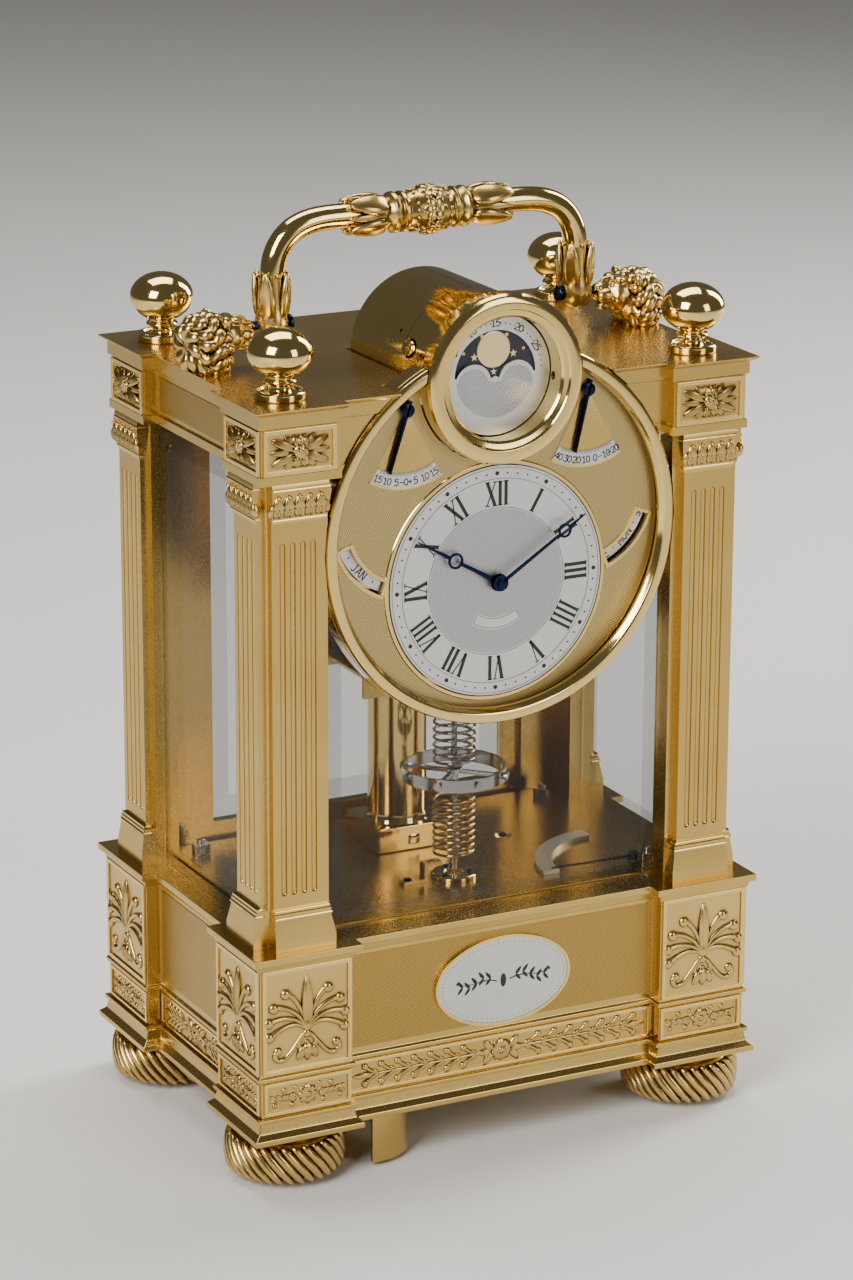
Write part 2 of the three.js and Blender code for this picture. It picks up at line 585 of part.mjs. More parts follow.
// A flat wheel with straight-sided teeth narrower than their spaces, so meshed pairs run free.
function gearShape(teeth, module) {
  const pitch = teeth * module / 2;
  const tip = pitch + module * 0.8;
  const root = pitch - module * 1.05;
  const step = Math.PI * 2 / teeth;
  const points = [];
  for (let tooth = 0; tooth < teeth; tooth++) {
    const middle = tooth * step;
    for (const [radius, share] of [[root, -0.24], [tip, 0], [root, 0.24]]) {
      const angle = middle + share * step;
      points.push([Math.cos(angle) * radius, Math.sin(angle) * radius]);
    }
  }
  return shapeOf(points);
}
const gear = (teeth, module, y0, y1, turn = 0) =>
  platedXZ(gearShape(teeth, module), y0, y1).rotateY(turn);

// How far to turn a pinion so that one of its gaps faces a tooth of the wheel that drives it.
// The wheel itself is unturned: its first tooth points along +X.
function pinionTurn(wheel, pinion) {
  const line = Math.atan2(pinion.z - wheel.z, pinion.x - wheel.x);
  const wheelPhase = line * wheel.teeth / (Math.PI * 2);
  return -(line + Math.PI) - Math.PI * 2 / pinion.pinion * (0.5 + wheelPhase);
}

const PLATE_Y0 = -44;
const PLATE_Y1 = -2;
const PLATE_THICKNESS = 2;
const BARREL = { x: 21.5, z: 191.55, teeth: 42, module: 15 / 14 };
const CENTRE = { x: 0, z: HANDS_Z, teeth: 36, module: 0.8, pinion: 7 };
const THIRD = { x: -11.88, z: HANDS_Z + 11.88, teeth: 30, module: 2 / 3, pinion: 6 };
const ESCAPE = { x: -22.27, z: HANDS_Z + 5.88, teeth: 15, module: 1, pinion: 6 };

const movementPlate = shapeOf([[-46, SEAT_TOP], [46, SEAT_TOP], [46, 236], [34, 248], [-34, 248],
  [-46, 236]]);
const plateAt = (y) => platedXZ(movementPlate, y, y + PLATE_THICKNESS);
const pivotHoles = [BARREL, CENTRE, THIRD, ESCAPE].map(({ x, z }) =>
  rodAboutY(z === HANDS_Z ? ARBOR_RADIUS + RUNNING : 0.9 + RUNNING, -60, 10, x, z, 8));
const postXZ = [[-40, 173], [40, 173], [-32, 241], [32, 241]];
const posts = postXZ.map(([x, z]) => rodAboutY(2.6, PLATE_Y0 + PLATE_THICKNESS, PLATE_Y1, x, z, 8));
part('movement_front_plate', cut(plateAt(PLATE_Y0), ...pivotHoles), gilt);
part('movement_back_plate', cut(union(plateAt(PLATE_Y1), ...posts),
  ...pivotHoles), gilt);

// A shaft between the plates with a thinner pivot at each end.
const arbor = (radius) => union(
  rodAboutY(radius, PLATE_Y0 + PLATE_THICKNESS + GAP, PLATE_Y1 - GAP, 0, 0, 8),
  rodAboutY(0.9, PLATE_Y0 + 0.4, PLATE_Y1 + 1.6, 0, 0, 8));
const placed = (geometry, { x, z }) => geometry.translate(x, 0, z);

part('spring_barrel', placed(union(
  gear(BARREL.teeth, BARREL.module, -40.5, -38.5),
  rodAboutY(19, -38.6, -14, 0, 0, 20),
  arbor(2.4), rodAboutY(0.9, -3, 6, 0, 0, 8), rodAboutY(2.2, 1, 9, 0, 0, 4)),
BARREL), gilt);
part('centre_wheel', placed(union(
  gear(CENTRE.teeth, CENTRE.module, -11, -9.6),
  gear(CENTRE.pinion, BARREL.module, -41, -38, pinionTurn(BARREL, CENTRE)),
  rodAboutY(ARBOR_RADIUS, -57.4, PLATE_Y1 + 1.6, 0, 0, 8)),
CENTRE), gilt);
part('third_wheel', placed(union(
  gear(THIRD.teeth, THIRD.module, -30, -28.8),
  gear(THIRD.pinion, CENTRE.module, -11.6, -9, pinionTurn(CENTRE, THIRD)),
  arbor(1)), THIRD), gilt);
part('escape_wheel', placed(union(
  gear(ESCAPE.teeth, ESCAPE.module, -20, -19.2),
  gear(ESCAPE.pinion, THIRD.module, -30.8, -28, pinionTurn(THIRD, ESCAPE)),
  arbor(0.95)), ESCAPE), gilt);

// ---------------------------------------------------------------- column, balance and springs

const COLUMN_Y = 22;
const columnProfile = [
  [0, 98.3], [12.1, 98.3], [12.6, 101], [10.9, 104.6], [10.9, 156], [13.2, 160],
  [13.2, SEAT_BOTTOM], [0, SEAT_BOTTOM],
];
part('support_column', union(
  turned(columnProfile, 16).translate(0, COLUMN_Y, 0),
  block([-14.5, COLUMN_Y - 14, FLOOR_TOP], [14.5, COLUMN_Y + 14, 98.3]),
  cut(block([-30, -45, SEAT_BOTTOM], [30, 36, SEAT_TOP]),
    rodAboutZ(1.2, SEAT_BOTTOM - 1, SEAT_TOP + 1, 0, BALANCE_Y))), gilt);

const RIM_RADIUS = 18.8;
const rim = turned([[RIM_RADIUS - 1.2, -2.4], [RIM_RADIUS, -2.4], [RIM_RADIUS, 2.4],
  [RIM_RADIUS - 1.2, 2.4]], 20, true);
const rimScrews = Array.from({ length: 8 }, (_, i) => {
  const angle = (i + 0.5) * Math.PI / 4;
  return rodAboutX(1.2, RIM_RADIUS - 0.6, RIM_RADIUS + 2.2, 0, 0, 4).rotateZ(angle);
});
const cross = [
  block([-RIM_RADIUS + 0.6, -1.2, -1], [RIM_RADIUS - 0.6, 1.2, 1]),
  block([-1.2, -RIM_RADIUS + 0.6, -1], [1.2, RIM_RADIUS - 0.6, 1]),
];
const staff = turned([
  [0, 90.4 - BALANCE_Z], [1.1, 93 - BALANCE_Z], [1.1, -5], [3, -4.4], [3, 4.4], [1.1, 5],
  [1.1, 162 - BALANCE_Z], [0.7, 166 - BALANCE_Z], [0, 166 - BALANCE_Z],
], 8);
part('balance_wheel', union(rim, ...cross, ...rimScrews, staff)
  .translate(0, BALANCE_Y, BALANCE_Z), steel);

// A helical balance spring: three-sided wire on a round coil, standing free round the staff.
const COIL_RADIUS = 7.3;
const WIRE = 0.55;
function helix(bottom, top, turns) {
  const stepsPerTurn = 8;
  const points = Array.from({ length: turns * stepsPerTurn + 1 }, (_, i) => {
    const angle = i / stepsPerTurn * Math.PI * 2;
    const z = bottom + (top - bottom) * i / (turns * stepsPerTurn);
    return new THREE.Vector3(Math.cos(angle) * COIL_RADIUS, Math.sin(angle) * COIL_RADIUS, z);
  });
  const section = shapeOf([[WIRE, -WIRE], [WIRE, WIRE], [-WIRE, 0]]);
  return new THREE.ExtrudeGeometry(section, {
    steps: turns * stepsPerTurn, bevelEnabled: false,
    extrudePath: new THREE.CatmullRomCurve3(points),
  });
}
part('upper_balance_spring', helix(131, 162.5, 11), steel).position.set(0, BALANCE_Y, 0);
part('lower_balance_spring', helix(96.5, 119, 9), gilt).position.set(0, BALANCE_Y, 0);

part('lower_pivot_disc', cut(
  rodAboutZ(8.4, FLOOR_TOP, 90, 0, BALANCE_Y, 18),
  rodAboutZ(1.4, 88.8, 91, 0, BALANCE_Y)), gilt);

// A Z-shaped bracket: one foot screwed to the floor, a riser, and an arm that ends at the coil.
const stud = new THREE.Shape();
[[-21, 88], [-11.4, 88], [-11.4, 94], [-5.5, 94], [-5.5, 95.4], [-12.8, 95.4], [-12.8, 89.4],
  [-21, 89.4]].forEach(([x, z], i) => (i ? stud.lineTo(x, z) : stud.moveTo(x, z)));
part('spring_bracket', platedXZ(stud, -2, 2).translate(0, BALANCE_Y, 0), gilt);

// ---------------------------------------------------------------- regulation scale

const REGULATOR_X = 65.2;
const REGULATOR_Y = -39.5;
const scale = new THREE.Shape();
scale.absarc(0, 0, 36, 1.62, 3.09, false);
scale.absarc(0, 0, 29.5, 3.09, 1.62, true);
part('regulation_scale', platedXY(scale, FLOOR_TOP, 89.6, 8)
  .translate(REGULATOR_X, REGULATOR_Y, 0), silver);

const REGULATOR_ANGLE = 3.1;
part('regulation_pointer', union(
  rodAboutZ(2, FLOOR_TOP + 0.1, 92, 0, 0, 10),
  platedXY(shapeOf([[0, -0.8], [33, -0.2], [33, 0.2], [0, 0.8]]), 90.4, 90.9)
    .rotateZ(REGULATOR_ANGLE)), bluedSteel)
  .position.set(REGULATOR_X, REGULATOR_Y, 0);

export default clock;
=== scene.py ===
# %% [markdown]
# A four-glass mantel clock in gilt brass. The working model, with every joint, is loaded as a fixed
# frame of named nodes, and this lesson builds the fine surfaces round it: turned and chased brass,
# bevelled glass, a silvered dial and blued hands. Each step says what the piece is on a real clock,
# how it could be made in Blender, and why it is made this way here.

# %% Load the frame
import math
import random

import bpy
from mathutils import Matrix, Vector


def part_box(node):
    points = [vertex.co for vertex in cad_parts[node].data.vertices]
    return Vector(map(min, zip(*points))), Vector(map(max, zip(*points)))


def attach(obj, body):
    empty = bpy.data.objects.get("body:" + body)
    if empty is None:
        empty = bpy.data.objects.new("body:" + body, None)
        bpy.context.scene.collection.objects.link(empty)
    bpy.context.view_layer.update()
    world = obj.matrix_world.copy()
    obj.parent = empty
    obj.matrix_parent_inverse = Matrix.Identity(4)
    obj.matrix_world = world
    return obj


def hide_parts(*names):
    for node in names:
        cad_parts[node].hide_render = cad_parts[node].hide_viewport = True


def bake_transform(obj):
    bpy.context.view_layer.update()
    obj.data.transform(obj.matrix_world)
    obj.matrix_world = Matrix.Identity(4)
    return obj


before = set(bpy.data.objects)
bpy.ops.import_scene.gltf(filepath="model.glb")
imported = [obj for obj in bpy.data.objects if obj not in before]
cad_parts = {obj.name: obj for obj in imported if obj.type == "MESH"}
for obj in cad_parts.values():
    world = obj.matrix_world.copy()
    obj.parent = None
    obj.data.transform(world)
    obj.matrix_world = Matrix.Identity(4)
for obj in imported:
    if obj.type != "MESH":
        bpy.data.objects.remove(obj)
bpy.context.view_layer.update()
MM = 0.001
print("nodes in the frame:", len(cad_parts))

# %% [markdown]
# Places and sizes come from the frame. A box gives a node's lowest and highest corners, so the
# middle of the dial, the axis of the watch dock or the top of the base never has to be typed in.
# Everything below is worked out in millimetres, because clocks are drawn that way, and turned to
# metres when a mesh is made.

# %% Sizes taken from the frame


def low_high(node):
    """A node's lowest and highest corners, in millimetres."""
    low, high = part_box(node)
    return low / MM, high / MM


def middle(node):
    low, high = low_high(node)
    return (low + high) / 2


HANDS_Z = middle("chapter_dial").z
CHAPTER_RADIUS = (low_high("chapter_dial")[1].x - low_high("chapter_dial")[0].x) / 2
CHAPTER_FRONT = low_high("chapter_dial")[0].y
DIAL_RADIUS = low_high("dial_case")[1].x
DIAL_Z = low_high("dial_case")[0].z + DIAL_RADIUS
PLATE_FRONT = low_high("dial_plate")[0].y
DOCK_Z = middle("dock_bezel").z
DOCK_RADIUS = low_high("dock_bezel")[1].x
DOCK_FRONT = low_high("dock_bezel")[0].y
TOP = low_high("top_plate")[1].z
FLOOR = low_high("floor_plate")[1].z
BLOCK_X = low_high("base_case")[1].x - 1.0
BLOCK_Y = low_high("base_case")[1].y - 1.0
# The plan of the base: how wide a corner block is and how far the walls between lie back.
BLOCK = 35.4
RECESS = 5.5
# The entablature: its height, the reach of its corner blocks and how wide they are.
FRIEZE_Z = (256.1, 272.0)
FRIEZE_X = 93.3
FRIEZE_Y = 62.5
FRIEZE_BLOCK = 28.4
FRIEZE_RECESS = 5.0
STAFF = middle("balance_wheel")
CORNERS = {
    "front_left": (-1, -1), "front_right": (1, -1), "rear_left": (-1, 1), "rear_right": (1, 1),
}
print("dial centre height", round(DIAL_Z, 1), "radius", round(DIAL_RADIUS, 1))
print("dock axis height", round(DOCK_Z, 1), "base face", round(BLOCK_X, 1), round(BLOCK_Y, 1))

# %% [markdown]
# The camera stands to the left of the clock and a little above it, with a long lens, as for a
# catalogue plate. A camera could be placed with a Track To constraint, but a rotation worked out
# from the line of sight is fixed and plain, so that is used. The roll is a fraction of a degree.

# %% Camera
CAMERA_PLACE = Vector((-0.6715, -1.3081, 0.6160))
CAMERA_TARGET = Vector((0.00073, 0.0, 0.17045))
CAMERA_ROLL = math.radians(0.231)
bpy.ops.object.camera_add(location=CAMERA_PLACE)
camera = bpy.context.object
sight = (CAMERA_TARGET - CAMERA_PLACE).to_track_quat("-Z", "Y").to_matrix()
camera.rotation_euler = (sight @ Matrix.Rotation(CAMERA_ROLL, 3, "Z")).to_euler()
camera.data.lens = 120.2
camera.data.sensor_width = 36
camera.data.sensor_fit = "AUTO"
camera.data.clip_start = 0.05
bpy.context.scene.camera = camera
print("camera is", round((CAMERA_TARGET - CAMERA_PLACE).length, 3), "m from the clock")

# %% [markdown]
# Polished brass shows its surroundings, so the light matters as much as the metal. Large soft
# boxes stand to the left, to the right and overhead, with a dim grey world between them: the gold
# then has broad bright bands and dark gaps, which is what makes it look like metal. The floor is
# plain and pale.

# %% Floor and light


def hex_colour(code):
    """An sRGB hex value as the linear colour that shaders use."""
    parts = [int(code[i:i + 2], 16) / 255 for i in (1, 3, 5)]
    linear = [p / 12.92 if p <= 0.04045 else ((p + 0.055) / 1.055) ** 2.4 for p in parts]
    return (*linear, 1.0)


def add_node(material, kind, settings=None, **links):
    """Adds a shader node; settings are its properties, links its sockets: a value or (node, output)."""
    node = material.node_tree.nodes.new(kind)
    for key, value in (settings or {}).items():
        setattr(node, key, value)
    for key, value in links.items():
        name = key.replace("_", " ")
        socket = node.inputs[int(key[1:])] if key[0] == "i" and key[1:].isdigit() else node.inputs[name]
        if isinstance(value, tuple) and isinstance(value[0], bpy.types.Node):
            material.node_tree.links.new(value[0].outputs[value[1]], socket)
        else:
            socket.default_value = value
    return node


def soft_box(name, place, size, watts, aim=(0, 0, 0.17)):
    bpy.ops.object.light_add(type="AREA", location=place)
    light = bpy.context.object
    light.name = name
    light.data.shape = "RECTANGLE"
    light.data.size, light.data.size_y = size
    light.data.energy = watts
    towards = Vector(aim) - Vector(place)
    light.rotation_euler = towards.to_track_quat("-Z", "Y").to_euler()
    return light


bpy.ops.object.select_all(action="DESELECT")
bpy.ops.mesh.primitive_plane_add(size=8, location=(0, 0, 0))
floor = bpy.context.object
floor.name = "studio_floor"
floor_paint = bpy.data.materials.new("pale_studio_floor")
floor_paint.use_nodes = True
floor_paint.node_tree.nodes["Principled BSDF"].inputs["Base Color"].default_value = hex_colour("#D9D6D0")
floor_paint.node_tree.nodes["Principled BSDF"].inputs["Roughness"].default_value = 0.85
floor.data.materials.append(floor_paint)

soft_box("key_left", (-1.5, -0.9, 1.3), (0.9, 1.2), 52)
soft_box("fill_front", (0.9, -2.0, 0.9), (0.7, 1.3), 13)
soft_box("rim_right", (1.5, 0.3, 0.9), (0.5, 1.4), 30)
soft_box("overhead", (0.1, 0.5, 1.8), (1.4, 0.9), 26)
world = bpy.data.worlds.new("studio")
bpy.context.scene.world = world
world.use_nodes = True
world.node_tree.nodes["Background"].inputs["Color"].default_value = hex_colour("#B9B6B2")
world.node_tree.nodes["Background"].inputs["Strength"].default_value = 0.24

# %% [markdown]
# Gilt brass is brass with a thin skin of gold. On this clock it comes in three finishes: polished
# like a mirror on the balls and rings, grained to a satin on plates and pillars, and chased, where
# a casting is worked with punches. The chased finish has painted shade: ambient occlusion darkens
# its hollows to a dull brown in the colour. A satin finish could be a flat roughness, but real
# graining has fine scratches that break a highlight up, so noise drives both roughness and a very
# shallow bump.

# %% Metals


def new_material(name, base, roughness, metallic=1.0):
    material = bpy.data.materials.new(name)
    material.use_nodes = True
    shader = material.node_tree.nodes["Principled BSDF"]
    shader.inputs["Base Color"].default_value = hex_colour(base)
    shader.inputs["Roughness"].default_value = roughness
    shader.inputs["Metallic"].default_value = metallic
    return material, shader


def object_coordinates(material, turn=(0, 0, 0), centre=(0, 0, 0)):
    """Object coordinates in metres, shifted so that centre is the origin, then turned."""
    where = add_node(material, "ShaderNodeTexCoord")
    shift = add_node(material, "ShaderNodeVectorMath", {"operation": "SUBTRACT"},
                     i0=(where, "Object"), i1=tuple(c * MM for c in centre))
    return add_node(material, "ShaderNodeMapping", Vector=(shift, 0), Rotation=turn)


def plug(material, source, target):
    material.node_tree.links.new(source, target)


def metal(name, base, dull, roughness, grain_mm, grain_depth_mm, hollow_shade_mm=0.0):
    """A metal whose colour and gloss vary with a fine grain; a nonzero last argument paints shade, a brown
    darkening from ambient occlusion, into hollows that deep.
    """
    material, shader = new_material(name, base, roughness)
    place = object_coordinates(material)
    grain = add_node(material, "ShaderNodeTexNoise", Vector=(place, 0), Scale=1 / (grain_mm * MM),
                     Detail=4.0, Roughness=0.6)
    clouds = add_node(material, "ShaderNodeTexNoise", Vector=(place, 0), Scale=1 / (28 * MM), Detail=3.0)
    gloss = add_node(material, "ShaderNodeMapRange", Value=(grain, "Fac"),
                     To_Min=roughness * 0.75, To_Max=roughness * 1.3)
    plug(material, gloss.outputs["Result"], shader.inputs["Roughness"])
    tone = add_node(material, "ShaderNodeMix", {"data_type": "RGBA"}, i0=(clouds, "Fac"),
                    i6=hex_colour(dull), i7=hex_colour(base))
    colour = tone.outputs[2]
    # Painted shade: ambient occlusion darkens the colour to a dark brown in hollows.
    if hollow_shade_mm:
        hollow = add_node(material, "ShaderNodeAmbientOcclusion", {"samples": 6, "only_local": True},
                          Distance=hollow_shade_mm * MM)
        depth = add_node(material, "ShaderNodeMapRange", Value=(hollow, "AO"), From_Min=0.35, From_Max=0.95)
        painted_hollow_shade = add_node(material, "ShaderNodeMix", {"data_type": "RGBA"}, i0=(depth, "Result"),
                          i6=hex_colour("#4F3818"), i7=(tone, 2))
        colour = painted_hollow_shade.outputs[2]
    plug(material, colour, shader.inputs["Base Color"])
    bump = add_node(material, "ShaderNodeBump", Height=(grain, "Fac"), Strength=1.0,
                    Distance=grain_depth_mm * MM)
    plug(material, bump.outputs["Normal"], shader.inputs["Normal"])
    return material


POLISHED_GILT = metal("polished_gilt_brass", "#E6CC86", "#D8BA6E", 0.09, 6.0, 0.004)
SATIN_GILT = metal("satin_gilt_brass", "#CFB26A", "#B99852", 0.25, 0.5, 0.002)
# The chased finish gets painted shade, a brown darkening from ambient occlusion, in its hollows.
CHASED_GILT = metal("chased_gilt_brass", "#D9BC78", "#BE9B54", 0.24, 0.7, 0.02, hollow_shade_mm=1.6)
BRIGHT_STEEL = metal("polished_steel", "#B9B7B4", "#A3A19E", 0.16, 2.0, 0.002)
BLUED_STEEL = metal("heat_blued_steel", "#1E2746", "#141A33", 0.2, 2.0, 0.001)
GOLD_COIL = metal("gilt_spring_wire", "#DEC284", "#CBAA64", 0.18, 2.0, 0.002)
print("metals made:", [m.name for m in bpy.data.materials])

# %% [markdown]
# Engine turning cuts rows of tiny facets with a rose engine. Here it is a barleycorn: two sets of
# wavy lines crossing at a slant. Lines as fine as the real ones, about a third of a millimetre
# apart, would vanish at this size of picture, so they are drawn about twice as coarse. The
# pattern is bump only, since the real cut is a few hundredths of a millimetre deep. The silvered
# dial is matt from a chemical silvering and has a faint circular grain round its middle.

# %% Engine turning and silvering


def engine_turned(name, base, dull, roughness, pitch_mm, turn, centre=(0, 0, 0), depth_mm=0.06):
    """Two crossing sets of lines, pitch_mm apart, on the plane that turn lays flat."""
    material, shader = new_material(name, base, roughness)
    place = object_coordinates(material, turn, centre)
    lines = []
    for slant in (math.radians(28), math.radians(-62)):
        tilted = add_node(material, "ShaderNodeMapping", Vector=(place, 0), Rotation=(0, 0, slant))
        lines.append(add_node(
            material, "ShaderNodeTexWave",
            {"wave_type": "BANDS", "bands_direction": "X", "wave_profile": "SIN"},
            Vector=(tilted, 0), Scale=0.314 / (pitch_mm * MM), Distortion=0.0))
    cut = add_node(material, "ShaderNodeMath", {"operation": "MULTIPLY"},
                   i0=(lines[0], "Fac"), i1=(lines[1], "Fac"))
    tone = add_node(material, "ShaderNodeMix", {"data_type": "RGBA"}, i0=(cut, 0),
                    i6=hex_colour(dull), i7=hex_colour(base))
    plug(material, tone.outputs[2], shader.inputs["Base Color"])
    bump = add_node(material, "ShaderNodeBump", Height=(cut, 0), Strength=1.0, Distance=depth_mm * MM)
    plug(material, bump.outputs["Normal"], shader.inputs["Normal"])
    return material


FACE_ON = (math.radians(-90), 0, 0)
SIDE_ON = (0, math.radians(90), 0)
TURNED_FRONT = engine_turned("engine_turned_gilt_front", "#D2B46C", "#987838", 0.3, 0.8, FACE_ON)
TURNED_SIDE = engine_turned("engine_turned_gilt_side", "#D2B46C", "#987838", 0.3, 0.8, SIDE_ON)
TURNED_DIAL = engine_turned("engine_turned_dial_gilt", "#DCCB9A", "#A08850", 0.36, 0.75, FACE_ON,
                            (0, 0, DIAL_Z))
TURNED_SILVER = engine_turned("engine_turned_silver", "#D9D8D6", "#9F9EA0", 0.38, 0.75, FACE_ON,
                              (0, 0, HANDS_Z))
SILVERED = metal("matt_silvered_brass", "#DAD9D7", "#CBCAC9", 0.42, 0.6, 0.004)
print("engine-turned finishes made")

# %% [markdown]
# The rest are small: black wax that fills engraved numerals, dark blue enamel for the night sky,
# and the glass. Clear glass could be a transmission shader, but light would then hardly reach the
# works through two panes. Most of each pane is let straight through instead, and what stays is a
# clean reflection. The ground bevels catch the light, so they are a little less clear.

# %% Wax, enamel and glass


def plain(name, base, roughness, metallic=0.0, speckle_mm=0.8):
    material, shader = new_material(name, base, roughness, metallic)
    place = object_coordinates(material)
    speckle = add_node(material, "ShaderNodeTexNoise", Vector=(place, 0), Scale=1 / (speckle_mm * MM))
    gloss = add_node(material, "ShaderNodeMapRange", Value=(speckle, "Fac"),
                     To_Min=roughness * 0.8, To_Max=roughness * 1.2)
    plug(material, gloss.outputs["Result"], shader.inputs["Roughness"])
    return material


def clear_glass(name, clearness):
    material, shader = new_material(name, "#1B2226", 0.02, 0.0)
    shader.inputs["IOR"].default_value = 1.52
    shader.inputs["Alpha"].default_value = 1 - clearness
    place = object_coordinates(material)
    draw = add_node(material, "ShaderNodeTexNoise", Vector=(place, 0), Scale=1 / (60 * MM))
    bump = add_node(material, "ShaderNodeBump", Height=(draw, "Fac"), Strength=1.0, Distance=0.02 * MM)
    plug(material, bump.outputs["Normal"], shader.inputs["Normal"])
    return material


BLACK_WAX = plain("black_engraving_wax", "#15130F", 0.45)
NIGHT_ENAMEL = plain("night_blue_enamel", "#20222F", 0.3)
PALE_GOLD = plain("pale_gold_inlay", "#F0D9A0", 0.3, 1.0)
PANE_GLASS = clear_glass("polished_plate_glass", 0.84)
BEVEL_GLASS = clear_glass("ground_bevel_glass", 0.62)
print("materials in all:", len(bpy.data.materials))

# %% [markdown]
# Most of a clock comes off a lathe. In Blender a turned piece is a line spun round an axis. The
# line is drawn as by hand: one vertex, extruded from point to point, then Spin takes it round.
# After that the doubled seam is merged, the normals are made to point out and the sharp edges get
# a small bevel, because a real edge is never quite sharp and its thin highlight is what shows it.

# %% Drawing and turning
MERGE = 0.001 * MM
# For each axis of turning: the way that a radius points, and the axis itself.
AXES = {
    "X": (Vector((0, 0, 1)), Vector((1, 0, 0))),
    "Y": (Vector((1, 0, 0)), Vector((0, 1, 0))),
    "Z": (Vector((1, 0, 0)), Vector((0, 0, 1))),
}


def focus(piece):
    if bpy.context.object and bpy.context.object.mode != "OBJECT":
        bpy.ops.object.mode_set(mode="OBJECT")
    bpy.ops.object.select_all(action="DESELECT")
    if piece:
        piece.select_set(True)
        bpy.context.view_layer.objects.active = piece
    return piece


def modify(piece, kind, **settings):
    """Adds a modifier and applies it."""
    focus(piece)
    modifier = piece.modifiers.new(kind.lower(), kind)
    for key, value in settings.items():
        setattr(modifier, key, value)
    bpy.ops.object.modifier_apply(modifier=modifier.name)
    return piece


def draw_line(points, close=False):
    """A chain of edges through points given in millimetres, left in edit mode, all selected."""
    focus(None)
    points = [Vector(p) * MM for p in points]
    bpy.ops.mesh.primitive_plane_add(size=MM, location=points[0])
    bpy.ops.object.mode_set(mode="EDIT")
    bpy.ops.mesh.select_mode(type="VERT")
    bpy.ops.mesh.merge(type="CENTER")
    for before, after in zip(points, points[1:]):
        bpy.ops.mesh.extrude_vertices_move(TRANSFORM_OT_translate={"value": after - before})
    bpy.ops.mesh.select_all(action="SELECT")
    if close:
        bpy.ops.mesh.edge_face_add()
    return bpy.context.object


def settle_place(piece):
    """Puts a piece's place, turn and size into its mesh, so that its object is at the origin."""
    focus(piece)
    bpy.ops.object.transform_apply(location=True, rotation=True, scale=True)
    return piece


def face_out(piece):
    """Turns every face of a piece to look outwards."""
    focus(piece)
    bpy.ops.object.mode_set(mode="EDIT")
    bpy.ops.mesh.select_all(action="SELECT")
    bpy.ops.mesh.normals_make_consistent(inside=False)
    bpy.ops.object.mode_set(mode="OBJECT")
    return piece


def twin_of(piece):
    twin = piece.copy()
    twin.data = piece.data.copy()
    bpy.context.scene.collection.objects.link(twin)
    return twin


def smooth(piece):
    focus(piece)
    bpy.ops.object.shade_smooth()
    return piece


def crisp(piece, angle=26):
    """Sharp edges where faces meet steeply, and large faces shaded flat beside small ones."""
    focus(piece)
    if piece.data.has_custom_normals:
        bpy.ops.mesh.customdata_custom_splitnormals_clear()
    bpy.ops.object.shade_smooth_by_angle(angle=math.radians(angle))
    modify(piece, "WEIGHTED_NORMAL", keep_sharp=True)
    return piece


def soften(piece, bevel=0.25, angle=35):
    if bevel:
        modify(piece, "BEVEL", width=bevel * MM, segments=2, limit_method="ANGLE",
               angle_limit=math.radians(angle), use_clamp_overlap=True, harden_normals=False)
    return crisp(piece, angle)


def turned(name, profile, centre=(0, 0, 0), axis="Z", segments=96, ring=False, bevel=0.2):
    """A profile of [radius, height] turned about an axis through centre."""
    out, along = AXES[axis]
    centre = Vector(centre)
    points = [centre + out * r + along * h for r, h in profile]
    piece = draw_line(points + points[:1] if ring else points)
    bpy.ops.mesh.spin(steps=segments, angle=math.tau, center=centre * MM, axis=along)
    bpy.ops.mesh.select_all(action="SELECT")
    bpy.ops.mesh.remove_doubles(threshold=MERGE)
    face_out(piece).name = name
    return soften(settle_place(piece), bevel)


def polar(radius, degrees):
    """The point at a radius and at an angle counted up from +X."""
    return radius * math.cos(math.radians(degrees)), radius * math.sin(math.radians(degrees))


def arc(radius_x, radius_y, first, last, steps, middle_x=0.0, middle_y=0.0):
    """Points round an ellipse from one angle to another, both in degrees."""
    angles = [math.radians(first + (last - first) * i / steps) for i in range(steps + 1)]
    return [[middle_x + math.cos(a) * radius_x, middle_y + math.sin(a) * radius_y] for a in angles]


def rod(name, radius, start, end, vertices=32):
    """A plain round bar between two points, for pins and for cutting holes."""
    focus(None)
    start, end = Vector(start), Vector(end)
    bpy.ops.mesh.primitive_cylinder_add(vertices=vertices, radius=radius * MM,
                                        depth=(end - start).length * MM, location=(start + end) / 2 * MM)
    piece = bpy.context.object
    piece.rotation_euler = (end - start).to_track_quat("Z", "Y").to_euler()
    piece.name = name
    return settle_place(piece)


def ball(size, place=(0, 0, 0), segments=24, rings=14):
    """A ball stretched to size, which gives its half widths."""
    focus(None)
    bpy.ops.mesh.primitive_uv_sphere_add(segments=segments, ring_count=rings, radius=MM,
                                         location=Vector(place) * MM)
    bpy.context.object.scale = size
    return settle_place(bpy.context.object)


def swept(name, lines, radius=1.0, kind="NURBS", round_steps=2, steps=5):
    """Round wires along lines of points; a point is x, y, z and how thick the wire is there."""
    curve = bpy.data.curves.new(name, "CURVE")
    curve.dimensions = "3D"
    curve.bevel_depth = radius * MM
    curve.bevel_resolution = round_steps
    curve.resolution_u = steps
    curve.use_fill_caps = True
    for line in lines:
        spline = curve.splines.new(kind)
        spline.points.add(len(line) - 1)
        if kind == "NURBS":
            spline.order_u = min(4, len(line))
            spline.use_endpoint_u = True
        for point, (x, y, z, thick) in zip(spline.points, line):
            point.co = (x * MM, y * MM, z * MM, 1)
            point.radius = thick
    made = bpy.data.objects.new(name, curve)
    bpy.context.scene.collection.objects.link(made)
    focus(made)
    bpy.ops.object.convert(target="MESH")
    return bpy.context.object


def block(name, low, high, bevel=0.3):
    focus(None)
    low, high = Vector(low), Vector(high)
    bpy.ops.mesh.primitive_cube_add(size=1, location=(low + high) / 2 * MM)
    piece = bpy.context.object
    piece.scale = (high - low) * MM
    piece.name = name
    settle_place(piece)
    return soften(piece, bevel) if bevel else piece


